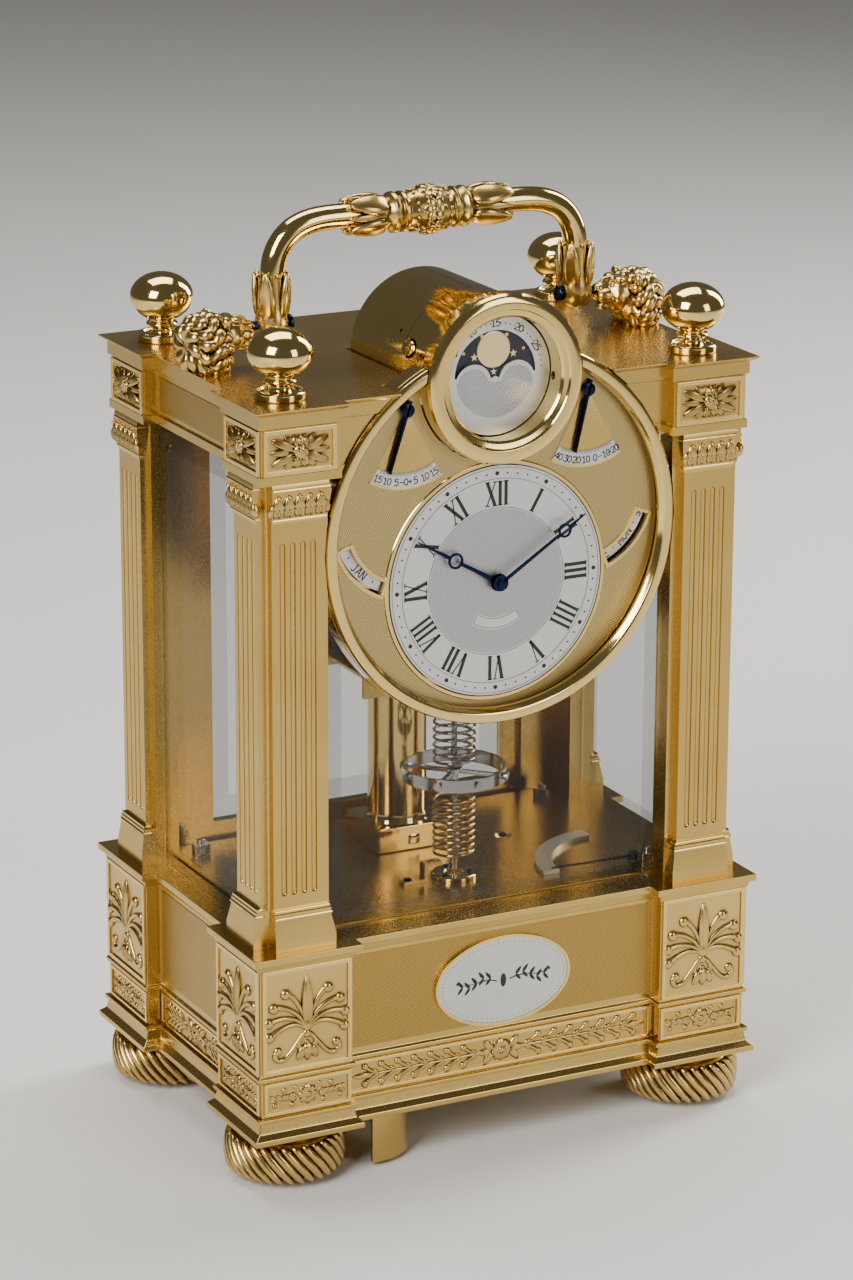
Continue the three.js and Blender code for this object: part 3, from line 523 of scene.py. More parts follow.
def plate(name, outline, y0, y1, bevel=0.12):
    """An outline of (x, z) points made into a plate between two depths."""
    piece = draw_line([(x, y0, z) for x, z in outline], close=True)
    bpy.ops.mesh.extrude_region_move(TRANSFORM_OT_translate={"value": (0, (y1 - y0) * MM, 0)})
    face_out(piece).name = name
    return soften(settle_place(piece), bevel)


def cut(piece, *cutters):
    """Takes each cutter's shape out of the piece and throws the cutter away."""
    for cutter in cutters:
        modify(piece, "BOOLEAN", operation="DIFFERENCE", object=cutter, solver="EXACT")
        bpy.data.objects.remove(cutter)
    return crisp(piece)


def join(name, pieces):
    focus(pieces[0])
    for piece in pieces:
        piece.select_set(True)
    if len(pieces) > 1:
        bpy.ops.object.join()
    joined = bpy.context.object
    joined.name = name
    return joined


def copies(piece, matrices, name):
    """One joined mesh with a copy of the piece at each matrix; the piece itself is used up."""
    made = []
    for matrix in matrices:
        twin = twin_of(piece)
        twin.matrix_world = matrix @ piece.matrix_world
        made.append(settle_place(twin))
    bpy.data.objects.remove(piece)
    return join(name, made)


def dress(piece, material, body, slot, *nodes):
    """Gives a finished piece its material and its body and hides the nodes that it stands for; slot is not
    used.
    """
    if material:
        piece.data.materials.clear()
        piece.data.materials.append(material)
    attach(piece, body)
    if nodes:
        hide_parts(*nodes)
    print(piece.name, len(piece.data.polygons), "faces")
    return piece


def fine_copy(node, bevel=0.3, angle=30):
    """A copy of a node's mesh with its seams merged, its flat faces whole and its edges eased."""
    piece = twin_of(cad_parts[node])
    for key in list(piece.keys()):
        del piece[key]
    piece.parent = None
    piece.name = node + "_body"
    focus(piece)
    bpy.ops.object.mode_set(mode="EDIT")
    bpy.ops.mesh.select_all(action="SELECT")
    bpy.ops.mesh.remove_doubles(threshold=MERGE)
    bpy.ops.mesh.dissolve_limited(angle_limit=math.radians(0.5))
    bpy.ops.mesh.normals_make_consistent(inside=False)
    bpy.ops.object.mode_set(mode="OBJECT")
    return soften(piece, bevel, angle)


# %% [markdown]
# Before any ornament, the plain plates. Their shape is already right in the frame, but every edge
# there is knife sharp. A copy of each is taken, its loose triangles are merged to whole faces and
# its edges get a bevel. That is quicker and safer than drawing the stepped outlines again.

# %% Plain plates
PLAIN_PARTS = (
    ("plinth_moulding", 0.35, SATIN_GILT, "root", "gilt_brass"),
    ("base_case", 0.3, SATIN_GILT, "root", "gilt_brass"),
    ("base_cornice", 0.35, SATIN_GILT, "root", "gilt_brass"),
    ("floor_plate", 0.25, SATIN_GILT, "root", "gilt_brass"),
    ("entablature", 0.3, SATIN_GILT, "root", "gilt_brass"),
    ("movement_front_plate", 0.3, SATIN_GILT, "root", "gilt_brass"),
    ("movement_back_plate", 0.3, SATIN_GILT, "root", "gilt_brass"),
    ("spring_bracket", 0.2, SATIN_GILT, "root", "gilt_brass"),
    ("silent_lever", 0.2, SATIN_GILT, "lever", "gilt_brass"),
    ("top_plate", 0.4, SATIN_GILT, "root", "gilt_brass"),
    ("door_frame", 0.3, SATIN_GILT, "door", "gilt_brass"),
    ("door_catch", 0.25, POLISHED_GILT, "catch", "gilt_brass"),
    ("regulation_scale", 0.15, SILVERED, "root", "silvered_brass"),
    ("regulation_pointer", 0.08, BLUED_STEEL, "regulator", "blued_steel"),
    ("centre_wheel", 0.08, SATIN_GILT, "minute", "gilt_brass"),
    ("third_wheel", 0.08, SATIN_GILT, "third", "gilt_brass"),
    ("escape_wheel", 0.08, SATIN_GILT, "escape", "gilt_brass"),
    ("spring_barrel", 0.08, SATIN_GILT, "barrel", "gilt_brass"),
)
for node, bevel, finish, body, slot in PLAIN_PARTS:
    dress(fine_copy(node, bevel), finish, body, slot, node)

# %% [markdown]
# Chased ornament is drawn here with three small shapes: a petal, which is a ball squeezed flat and
# pinched at its tip with a groove for its vein; a stem, which is a tapered wire with a drop at its
# end; and a bead. Each is modelled flat, pointing up the page, and copied into a design, and the
# design is then copied onto each wall. A carved displacement map could do the same, but a real
# edge round every leaf catches the light as a chased casting does.

# %% Petals, stems and beads


def petal(length, width, height, pinch=0.55, groove=0.35, lift=0.0):
    """A leaf lying on the page from the origin to (0, length), as high as height."""
    focus(None)
    bpy.ops.mesh.primitive_uv_sphere_add(segments=12, ring_count=7, radius=MM, rotation=(math.pi / 2, 0, 0))
    piece = settle_place(bpy.context.object)
    piece.scale = (width / 2, length / 2, height)
    settle_place(piece)
    bpy.ops.object.mode_set(mode="EDIT")
    bpy.ops.mesh.select_all(action="DESELECT")
    bpy.ops.object.mode_set(mode="OBJECT")
    for vertex in piece.data.vertices:
        vertex.select = abs(vertex.co.x) < 0.02 * width * MM and vertex.co.z > 0.2 * height * MM
    bpy.ops.object.mode_set(mode="EDIT")
    bpy.ops.transform.translate(value=(0, 0, -groove * height * MM))
    bpy.ops.object.mode_set(mode="OBJECT")
    modify(piece, "SIMPLE_DEFORM", deform_method="TAPER", deform_axis="Y", factor=-pinch)
    piece.location = (0, length / 2 * MM, 0)
    piece.rotation_euler = (math.radians(lift), 0, 0)
    return settle_place(piece)


def bead(radius, x=0.0, y=0.0, z=0.0, flat=0.7):
    focus(None)
    bpy.ops.mesh.primitive_uv_sphere_add(segments=12, ring_count=8, radius=radius * MM,
                                         location=(x * MM, y * MM, z * MM))
    bpy.context.object.scale = (1, 1, flat)
    return settle_place(bpy.context.object)


def stem(points, thick, thin, drop=0.0):
    """A tapered wire through points on the page, with a ball of radius drop at its end."""
    last = len(points) - 1
    wire = swept("stem", [[(x, y, 0, thick + (thin - thick) * i / last) for i, (x, y) in enumerate(points)]])
    if not drop:
        return wire
    return join("stem", [wire, bead(drop, *points[-1], 0.1)])


def placed(piece, degrees, x=0.0, y=0.0, size=1.0):
    """Turns a page ornament clockwise about its origin, then moves it on the page."""
    matrix = Matrix.Translation((x * MM, y * MM, 0)) @ Matrix.Rotation(math.radians(-degrees), 4, "Z")
    piece.matrix_world = matrix @ Matrix.Scale(size, 4)
    return settle_place(piece)


def turned_copy(piece, degrees, x=0.0, y=0.0, size=1.0):
    return placed(twin_of(piece), degrees, x, y, size)


def wall(x, y, z, facing):
    """The matrix that stands the page up at a point, facing front, rear, left or right."""
    turn = {"front": 0, "right": 90, "rear": 180, "left": -90}[facing]
    upright = Matrix.Rotation(math.radians(turn), 4, "Z") @ Matrix.Rotation(math.radians(90), 4, "X")
    return Matrix.Translation((x * MM, y * MM, z * MM)) @ upright


def border(name, width, height, rim, depth):
    """A raised frame on the page round the origin, rim wide and depth high."""
    focus(None)
    bpy.ops.mesh.primitive_plane_add(size=1)
    piece = bpy.context.object
    piece.scale = (width * MM, height * MM, 1)
    piece.name = name
    settle_place(piece)
    bpy.ops.object.mode_set(mode="EDIT")
    bpy.ops.mesh.select_all(action="SELECT")
    bpy.ops.mesh.inset(thickness=rim * MM)
    bpy.ops.mesh.delete(type="FACE")
    bpy.ops.mesh.select_all(action="SELECT")
    bpy.ops.mesh.extrude_region_move(TRANSFORM_OT_translate={"value": (0, 0, depth * MM)})
    return soften(face_out(piece), 0.2)


def frame_walls(name, walls, width, height, rim, depth):
    """Polished frames of one size on several walls."""
    dress(copies(border("frame", width, height, rim, depth), walls, name), POLISHED_GILT, "root",
          "polished_brass")


def chase_walls(name, walls, ornament):
    """One chased ornament on several walls."""
    dress(copies(ornament, walls, name), CHASED_GILT, "root", "cast_brass")


# %% [markdown]
# A bun foot is turned, then a rope pattern is chased round its belly. The rope could be cut with a
# twisted displacement, but on the real foot each strand is a separate fat lobe that leans over, so
# one lobe is modelled and copied round, with a plain turned core behind it.

# %% Bun feet
FOOT_HEIGHT = low_high("foot_front_left")[1].z
FOOT_RADIUS = (low_high("foot_front_left")[1].x - low_high("foot_front_left")[0].x) / 2
LOBES = 32
LOBE_LEAN = math.radians(40)
LOBE_SIZE = (3.4, 2.1, 9.0)
for corner in CORNERS:
    node = f"foot_{corner}"
    place = middle(node)
    centre = Vector((place.x, place.y, 0))
    belly = arc(4.6, 8.0, -60, 60, 8, FOOT_RADIUS - 7.4, FOOT_HEIGHT / 2)
    core = turned(node + "_core", [[0, 0], [11, 0], [14.2, 1.2], *belly, [13.6, 17.8],
                                   [13.6, FOOT_HEIGHT], [0, FOOT_HEIGHT]], centre, segments=64)
    lobe = ball(LOBE_SIZE, segments=14, rings=10)
    lobe.rotation_euler = (LOBE_LEAN, 0, 0)
    lobe.location = ((FOOT_RADIUS - LOBE_SIZE[0]) * MM, 0, FOOT_HEIGHT / 2 * MM)
    smooth(settle_place(lobe))
    strands = copies(lobe, [Matrix.Translation(centre * MM) @ Matrix.Rotation(math.tau * i / LOBES, 4, "Z")
                            for i in range(LOBES)], node + "_rope")
    foot = join(node + "_turned", [core, strands])
    dress(foot, CHASED_GILT, "root", "cast_brass", node)

# %% [markdown]
# Each corner block of the base carries a palmette in a raised frame: a pointed leaf in the middle,
# curled stems with drops fanning out on both sides, and two scrolls below. The frame is a plane
# whose middle is inset and taken out, the way a carpenter would cut a mount for a picture.

# %% Palmette panels on the base blocks
PALMETTE = (30.6, 36.0)
STEM_ANGLES = (22, 42, 62, 84)


def ground(width, height):
    """A thin plate behind an ornament, so that the painted shade of the chased metal darkens the hollows
    beside the relief.
    """
    return block("ground", (-width / 2, -height / 2, -0.1), (width / 2, height / 2, 0.2), 0)


def palmette():
    """The palmette design on the page, round the middle of its panel."""
    foot_y = -7.5
    made = [placed(petal(19.5, 4.6, 2.2), 0, 0, foot_y + 4.2)]
    for index, angle in enumerate(STEM_ANGLES):
        reach = 20.5 - index * 2.1
        for side in (-1, 1):
            lean = math.radians(angle) * side
            sway = math.radians(angle * 0.45) * side
            points = [
                (0, foot_y + 3.0),
                (math.sin(sway) * reach * 0.5, foot_y + 3.0 + math.cos(sway) * reach * 0.5),
                (math.sin(lean) * reach * 0.9, foot_y + 2.4 + math.cos(lean) * reach * 0.82),
                (math.sin(lean) * reach * 0.98 + side * 0.6, foot_y + 0.9 + math.cos(lean) * reach * 0.86),
            ]
            made.append(stem(points, 0.8, 1.35, 2.1))
    for side in (-1, 1):
        scroll = [(side * 1.2, foot_y + 1.5), (side * 4.2, foot_y - 1.8), (side * 7.2, foot_y - 6.4),
                  (side * 11.4, foot_y - 7.6), (side * 13.2, foot_y - 4.6), (side * 11.2, foot_y - 3.4)]
        made.append(stem(scroll, 0.9, 1.2, 1.7))
        made.append(stem([(side * 0.6, foot_y + 2), (side * 3.6, foot_y + 0.2), (side * 4.2, foot_y - 3.2),
                          (side * 1.9, foot_y - 3.6)], 0.8, 1.1, 1.3))
        made.append(placed(petal(6.5, 3.4, 1.7), side * 148, side * 0.6, foot_y - 2.4))
    made.append(placed(petal(7.2, 3.8, 2.0), 180, 0, foot_y - 1.4))
    made.append(bead(1.7, 0, foot_y + 1.6))
    made.append(bead(1.2, 0, foot_y - 1.8))
    return join("palmette", [smooth(join("palmette", made)), ground(*PALMETTE)])


def block_walls(reach_x, reach_y, z, block):
    """The middle of every outside face of four corner blocks."""
    walls = []
    for sx, sy in CORNERS.values():
        walls.append(wall(sx * (reach_x - block / 2), sy * reach_y, z, "front" if sy < 0 else "rear"))
        walls.append(wall(sx * reach_x, sy * (reach_y - block / 2), z, "left" if sx < 0 else "right"))
    return walls


PANEL_Z = 63.2
panel_walls = block_walls(BLOCK_X, BLOCK_Y, PANEL_Z, BLOCK)
chase_walls("base_palmettes", panel_walls, palmette())
frame_walls("base_palmette_frames", panel_walls, PALMETTE[0] + 3.4, PALMETTE[1] + 2.4, 1.5, 0.9)

# %% [markdown]
# Below the palmettes runs a narrow frieze. On the corner blocks it is a flower between leaves; on
# the long sides it is a branch that grows both ways from a rosette, with berries on short stems.

# %% Lower frieze
FRIEZE_ROW_Z = 34.6
FRIEZE_ROW_HEIGHT = 12.0


def rosette(radius, petals=8, height=1.3):
    leaf = petal(radius, radius * 0.72, height, pinch=0.2)
    made = [turned_copy(leaf, 360 * i / petals) for i in range(petals)]
    bpy.data.objects.remove(leaf)
    return join("rosette", [*made, bead(radius * 0.34, z=0.5)])


def block_frieze():
    """A flower with two leafy sprays, thirty millimetres long."""
    made = [rosette(3.9, 8)]
    leaf = petal(5.4, 2.7, 1.2)
    for side in (-1, 1):
        for step in range(4):
            x = side * (4.4 + step * 2.5)
            made.append(turned_copy(leaf, side * 55, x, -1.6 + 0.4 * step, 0.86 - 0.08 * step))
            made.append(turned_copy(leaf, side * 125, x, 1.2 - 0.3 * step, 0.8 - 0.08 * step))
        made.append(bead(1.1, side * 9.0, 2.7))
        made.append(bead(1.1, side * 6.0, -2.9))
        made.append(bead(1.0, side * 12.6, -2.4))
        made.append(bead(0.9, side * 4.6, 3.2))
    bpy.data.objects.remove(leaf)
    return smooth(join("block_frieze", made))


def branch_frieze(half_length, sprays):
    """A rosette in the middle and a berried branch growing out to each side."""
    made = [rosette(4.4, 10)]
    leaf = petal(6.2, 3.2, 1.3)
    for side in (-1, 1):
        for turn in (35, 90, 145):
            made.append(turned_copy(leaf, side * turn, side * 3.6, 0, 0.95))
        made.append(placed(petal(8.5, 2.6, 1.2), side * 90, side * (half_length - 8.5), 0))
        made.append(stem([(side * 5, 0), (side * half_length * 0.5, 0.1), (side * (half_length - 5), 0)],
                         0.7, 0.45))
        for step in range(sprays):
            x = side * (9.5 + (half_length - 20) * step / (sprays - 1))
            for up in (-1, 1):
                tip = (x + side * 5.6, up * 3.3)
                made.append(stem([(x, 0), (x + side * 3.0, up * 0.9), tip], 0.6, 1.0, 1.35))
            made.append(turned_copy(leaf, side * 66, x, 0.2, 0.62))
            made.append(turned_copy(leaf, side * 114, x, -0.2, 0.62))
    bpy.data.objects.remove(leaf)
    return smooth(join("branch_frieze", made))


row_walls = block_walls(BLOCK_X - 0.3, BLOCK_Y - 0.3, FRIEZE_ROW_Z, BLOCK)
chase_walls("base_block_friezes", row_walls, block_frieze())
frame_walls("base_block_frieze_frames", row_walls, BLOCK - 2, FRIEZE_ROW_HEIGHT, 1.3, 0.8)
LONG_HALF = BLOCK_X - BLOCK
SHORT_HALF = BLOCK_Y - BLOCK
PANEL_X = BLOCK_X - RECESS
PANEL_Y = BLOCK_Y - RECESS
long_walls = [wall(0, -PANEL_Y + 0.3, FRIEZE_ROW_Z, "front"), wall(0, PANEL_Y - 0.3, FRIEZE_ROW_Z, "rear")]
side_walls = [wall(-PANEL_X + 0.3, 0, FRIEZE_ROW_Z, "left"), wall(PANEL_X - 0.3, 0, FRIEZE_ROW_Z, "right")]
chase_walls("base_long_friezes", long_walls, branch_frieze(LONG_HALF - 2.5, 7))
chase_walls("base_side_friezes", side_walls, branch_frieze(SHORT_HALF - 2.5, 4))
frame_walls("base_long_frieze_frames", long_walls, LONG_HALF * 2 - 1, FRIEZE_ROW_HEIGHT, 1.2, 0.8)
frame_walls("base_side_frieze_frames", side_walls, SHORT_HALF * 2 - 1, FRIEZE_ROW_HEIGHT, 1.2, 0.8)

# %% [markdown]
# Between the corner blocks the base is engine turned inside a flat border. A thin panel with its
# own material is laid on the wall, so that the pattern stops at a clean line as it does when a
# panel is turned first and soldered in.

# %% Engine-turned panels


def thin_panel(name, width, height, place):
    focus(None)
    bpy.ops.mesh.primitive_cube_add(size=1)
    piece = bpy.context.object
    piece.scale = (width * MM, height * MM, 0.5 * MM)
    settle_place(piece)
    piece.matrix_world = place
    piece.name = name
    return soften(settle_place(piece), 0.15)


PANEL_HEIGHT = 34.5
for name, width, place, finish in (
        ("base_front_panel", LONG_HALF * 2 - 4.4, wall(0, -PANEL_Y, PANEL_Z, "front"), TURNED_FRONT),
        ("base_rear_panel", LONG_HALF * 2 - 4.4, wall(0, PANEL_Y, PANEL_Z, "rear"), TURNED_FRONT),
        ("base_left_panel", SHORT_HALF * 2 - 4.4, wall(-PANEL_X, 0, PANEL_Z, "left"), TURNED_SIDE),
        ("base_right_panel", SHORT_HALF * 2 - 4.4, wall(PANEL_X, 0, PANEL_Z, "right"), TURNED_SIDE)):
    dress(thin_panel(name, width, PANEL_HEIGHT, place), finish, "root", "gilt_brass")

# %% [markdown]
# The oval plaque is a silvered disc in a thin gilt rim. It is left without lettering: a ring of
# engraved dots, a small lozenge and two sprays fill it instead.

# %% Oval plaque
plaque_low, plaque_high = low_high("oval_plaque")
PLAQUE_Z = (plaque_low.z + plaque_high.z) / 2
PLAQUE_HALF = ((plaque_high.x - plaque_low.x) / 2, (plaque_high.z - plaque_low.z) / 2)


def oval(shrink, steps=96):
    return arc(PLAQUE_HALF[0] - shrink, PLAQUE_HALF[1] - shrink, 0, 360, steps, 0, PLAQUE_Z)[:-1]


plaque_rim = plate("oval_plaque_rim", oval(0), plaque_low.y, plaque_high.y + 0.4)
cut(plaque_rim, plate("room", oval(1.1), plaque_low.y - 1, plaque_low.y + 0.5, 0))
dress(plaque_rim, POLISHED_GILT, "root", "polished_brass")
plaque_face = plate("oval_plaque_face", oval(1.15), plaque_low.y + 0.25, plaque_low.y + 0.52, 0.05)
dress(plaque_face, SILVERED, "root", "silvered_brass", "oval_plaque")
DOTS = 72
DOT_INSET = 2.6
SPRAY = ((2.6, 0), (8, 2.6), (13.5, -1.6), (18.4, 1.4))
LEAF_PAIR_HEIGHTS = (1.5, 1.9, 0.4, -0.9, -0.2)
plaque_marks = []
for i in range(DOTS):
    around = math.tau * i / DOTS
    plaque_marks.append(bead(0.22, (PLAQUE_HALF[0] - DOT_INSET) * math.cos(around),
                             (PLAQUE_HALF[1] - DOT_INSET) * math.sin(around), flat=0.3))
for side in (-1, 1):
    plaque_marks.append(stem([(side * x, y) for x, y in SPRAY], 0.26, 0.14, 0.5))
    for step, y in enumerate(LEAF_PAIR_HEIGHTS):
        x = side * (5 + step * 2.8)
        plaque_marks.append(placed(petal(3.4, 1.3, 0.2), side * 40, x, y))
        plaque_marks.append(placed(petal(3.2, 1.2, 0.2), side * 140, x, y))
plaque_marks.append(placed(petal(5.2, 2.4, 0.25, pinch=0), 0, 0, -2.6))
plaque_drawing = copies(join("marks", plaque_marks), [wall(0, plaque_low.y + 0.27, PLAQUE_Z, "front")],
                        "oval_plaque_engraving")
dress(plaque_drawing, BLACK_WAX, "root", "silvered_brass")

# %% [markdown]
# The four pillars are angle pieces whose outer faces are fluted, like a Greek column made flat. A
# flute is a shallow round-ended groove: it is cut here by taking a long bar with round ends out of
# the wall, once for each flute. A bump texture would be lighter, but a real groove keeps its dark
# side and its bright side from any angle. Each capital has a band of small standing leaves.

# %% Fluted pillars
FLUTE_PITCH = 3.8
FLUTE_RADIUS = 1.05
FLUTE_DEPTH = 1.05
FLUTE_BOTTOM = 107.0
FLUTE_TOP = 232.5
STRIP_FRONT = 62.0
STRIP_SIDE = 93.0
STRIP_MIDDLE_X = 79.75
STRIP_MIDDLE_Y = 49.0


def flute_bar(x, y):
    """An upright bar with round ends, for cutting one flute."""
    middle_z = (FLUTE_BOTTOM + FLUTE_TOP) / 2
    half = (FLUTE_TOP - FLUTE_BOTTOM) / 2
    profile = [*arc(FLUTE_RADIUS, FLUTE_RADIUS, -90, 0, 6, 0, FLUTE_RADIUS - half),
               *arc(FLUTE_RADIUS, FLUTE_RADIUS, 0, 90, 6, 0, half - FLUTE_RADIUS)]
    profile[0][0] = profile[-1][0] = 0
    return turned("flute", profile, (x, y, middle_z), segments=28, bevel=0)


def leaf_band(width, height, leaves):
    """Acanthus on the page: tall leaves with smaller ones between, leaning out at the tips."""
    made = []
    tall = petal(height, width / leaves * 1.15, 1.8, pinch=0.3, groove=0.5, lift=11)
    small = petal(height * 0.62, width / leaves * 0.8, 1.5, pinch=0.35, groove=0.5, lift=15)
    for i in range(leaves):
        x = width * ((i + 0.5) / leaves - 0.5)
        made.append(turned_copy(tall, 0, x, 0))
        made.append(turned_copy(small, 16, x, 0))
        made.append(turned_copy(small, -16, x, 0))
        made.append(bead(0.75, x, height * 0.93, 1.5, 1.0))
    for i in range(leaves + 1):
        x = width * (i / leaves - 0.5)
        made.append(turned_copy(small, 0, x, 0, 1.1))
    bpy.data.objects.remove(tall)
    bpy.data.objects.remove(small)
    return smooth(join("leaf_band", made))


CAPITAL_LEAF_Z = 241.4
LEAF_HEIGHT = 8.0
LEAF_PROUD = 1.1
proud = FLUTE_RADIUS - FLUTE_DEPTH
long_leaf_walls = []
side_leaf_walls = []
for corner, (sx, sy) in CORNERS.items():
    node = f"pillar_{corner}"
    pillar = fine_copy(node, 0.25)
    bars = []
    for i in range(4):
        step = (i - 1.5) * FLUTE_PITCH
        bars.append(flute_bar(sx * (STRIP_MIDDLE_X + step), sy * (STRIP_FRONT + proud)))
        bars.append(flute_bar(sx * (STRIP_SIDE + proud), sy * (STRIP_MIDDLE_Y + step)))
    cut(pillar, join("bars", bars))
    dress(pillar, SATIN_GILT, "root", "gilt_brass", node)
    long_leaf_walls.append(wall(sx * STRIP_MIDDLE_X, sy * (STRIP_FRONT + LEAF_PROUD), CAPITAL_LEAF_Z,
                                "front" if sy < 0 else "rear"))
    side_leaf_walls.append(wall(sx * (STRIP_SIDE + LEAF_PROUD), sy * STRIP_MIDDLE_Y, CAPITAL_LEAF_Z,
                                "left" if sx < 0 else "right"))
chase_walls("capital_leaves", long_leaf_walls + side_leaf_walls, leaf_band(19.5, LEAF_HEIGHT, 5))

# %% [markdown]
# Two flat beads frame the leaves and two more lie over the base of every pillar. They are plain
# square rods with eased edges, laid across the strips.

# %% Mouldings on the pillars
strip_beads = []
for sx, sy in CORNERS.values():
    for z, proud, tall in ((240.0, 1.0, 1.1), (250.6, 2.0, 0.9), (101.2, 1.4, 1.2), (98.9, 2.1, 1.0)):
        low_x, high_x = sorted((sx * (70 - proud), sx * (89.5 + proud * 0.2)))
        y0, y1 = sorted((sy * 60, sy * (STRIP_FRONT + proud)))
        strip_beads.append(block("bead", (low_x, y0, z), (high_x, y1, z + tall), 0.4))
        x0, x1 = sorted((sx * 91, sx * (STRIP_SIDE + proud)))
        low_y, high_y = sorted((sy * (39.7 - proud), sy * (58.3 + proud * 0.2)))
        strip_beads.append(block("bead", (x0, low_y, z), (x1, high_y, z + tall), 0.4))
dress(join("pillar_beads", strip_beads), POLISHED_GILT, "root", "polished_brass")

# %% [markdown]
# On each corner of the entablature is a flower that has been stretched to fill an oblong frame:
# long pointed petals reach into the corners, shorter ones lie between, and the middle is pebbled.

# %% Flowers on the corner blocks
FLOWER_WIDTH = 24.0
FLOWER_HEIGHT = 13.0
FLOWER_Z = (FRIEZE_Z[0] + FRIEZE_Z[1]) / 2
PEBBLES = 19


def oblong_flower():
    made = []
    half_x = FLOWER_WIDTH / 2 - 0.8
    half_y = FLOWER_HEIGHT / 2 - 0.7
    for i in range(16):
        angle = math.tau * i / 16
        reach = 1 / max(abs(math.sin(angle)) / half_x, abs(math.cos(angle)) / half_y)
        reach = min(reach, 11.6)
        leaf = petal(reach - 1.0, 3.6 if i % 2 else 3.0, 2.5 if i % 2 else 1.9, pinch=0.3, groove=0.5)
        leaf.location = (0, 1.0 * MM, 0)
        made.append(placed(settle_place(leaf), math.degrees(angle)))
    for i in range(PEBBLES):
        radius = 0.62 * math.sqrt(i) * 0.95
        angle = i * math.radians(137.5)
        made.append(bead(0.62, radius * math.cos(angle), radius * math.sin(angle), 2.2 - 0.05 * i, 0.9))
    made.append(bead(2.9, z=1.0, flat=0.5))
    flower = smooth(join("oblong_flower", made))
    return join("oblong_flower", [flower, ground(FLOWER_WIDTH + 0.6, FLOWER_HEIGHT)])


flower_walls = block_walls(FRIEZE_X, FRIEZE_Y, FLOWER_Z, FRIEZE_BLOCK)
chase_walls("entablature_flowers", flower_walls, oblong_flower())
frame_walls("entablature_flower_frames", flower_walls, FLOWER_WIDTH + 3, FLOWER_HEIGHT + 2.6, 1.5, 1.0)
side_width = (FRIEZE_Y - FRIEZE_BLOCK) * 2 - 5
long_width = (FRIEZE_X - FRIEZE_BLOCK) * 2 - 5
side_reach = FRIEZE_X - FRIEZE_RECESS
rear_reach = FRIEZE_Y - FRIEZE_RECESS
for name, width, place, finish in (
        ("entablature_left_panel", side_width, wall(-side_reach, 0, FLOWER_Z, "left"), TURNED_SIDE),
        ("entablature_right_panel", side_width, wall(side_reach, 0, FLOWER_Z, "right"), TURNED_SIDE),
        ("entablature_rear_panel", long_width, wall(0, rear_reach, FLOWER_Z, "rear"), TURNED_FRONT)):
    dress(thin_panel(name, width, 12.0, place), finish, "root", "gilt_brass")

# %% [markdown]
# The ball finials are one turning each: a flat foot with a raised rim, a short neck with a ring,
# and a slightly flattened ball, polished all over.

# %% Finials
for corner in CORNERS:
    node = f"finial_{corner}"
    place = middle(node)
    neck = [[0, 0], [8.3, 0], [8.7, 0.5], [8.7, 2.4], [8.2, 3.0], [7.4, 2.9], [7.0, 2.2], [4.4, 2.3],
            [3.5, 3.2], [3.3, 4.4], [4.0, 5.2], [5.2, 5.4], [5.7, 6.1], [5.2, 6.8], [4.2, 7.1]]
    globe = arc(11.3, 8.7, -68, 90, 22, 0, 15.7)
    globe[-1][0] = 0
    finial = turned(node + "_turned", neck + globe, (place.x, place.y, TOP), segments=72, bevel=0.1)
    dress(finial, POLISHED_GILT, "root", "polished_brass", node)

# %% [markdown]
# The handle is a bent brass bar. A curve with a round bevel gives a bar of even thickness round
# its corners. The grip in the middle is a turned barrel with flowers in relief, and lotus leaves
# lie along the bar on both sides of it. The feet of the bar sit in four-leaved sheaths that turn
# on blued screws.

# %% Handle bar
PIVOT_Z = middle("handle_pivot_left").z
HANDLE_X = 59.9
GRIP_Z = 327.7
BAR_RADIUS = 4.4
half_route = [(HANDLE_X, 290), (HANDLE_X, 300), (HANDLE_X, 309), (58.6, 318), (52.5, 325.4), (43, 328.1),
              (33, 328.1), (15, 327.8)]
route = half_route + [(-x, z) for x, z in reversed(half_route)]
bar = smooth(swept("bar", [[(x, 0, z, 1) for x, z in route]], BAR_RADIUS, round_steps=8, steps=8))

grip = turned("grip", [
    [0, -17.2], [5.2, -17.2], [5.9, -15.6], [7.2, -14.6], [7.4, -13.4], [6.6, -12.4], [6.2, -11.4],
    [7.2, -10.8], [7.3, -9.8], [6.4, -9.2], [6.2, -8.4], [7.4, -5.4], [7.7, 0], [7.4, 5.4], [6.2, 8.4],
    [6.4, 9.2], [7.3, 9.8], [7.2, 10.8], [6.2, 11.4], [6.6, 12.4], [7.4, 13.4], [7.2, 14.6], [5.9, 15.6],
    [5.2, 17.2], [0, 17.2]], (0, 0, GRIP_Z), "X", 48, bevel=0.1)


def along_bar(x, radius, angle, heading, tilt=0.0):
    """Puts a page ornament on the bar: lying along X towards heading, at an angle round the bar."""
    lay = Matrix.Rotation(math.radians(-90 * heading), 4, "Z")
    rise = Matrix.Rotation(math.radians(-tilt * heading), 4, "Y")
    spin = Matrix.Rotation(math.radians(angle), 4, "X")
    return (Matrix.Translation((x * MM, 0, GRIP_Z * MM)) @ spin
            @ Matrix.Translation((0, 0, radius * MM)) @ rise @ lay)


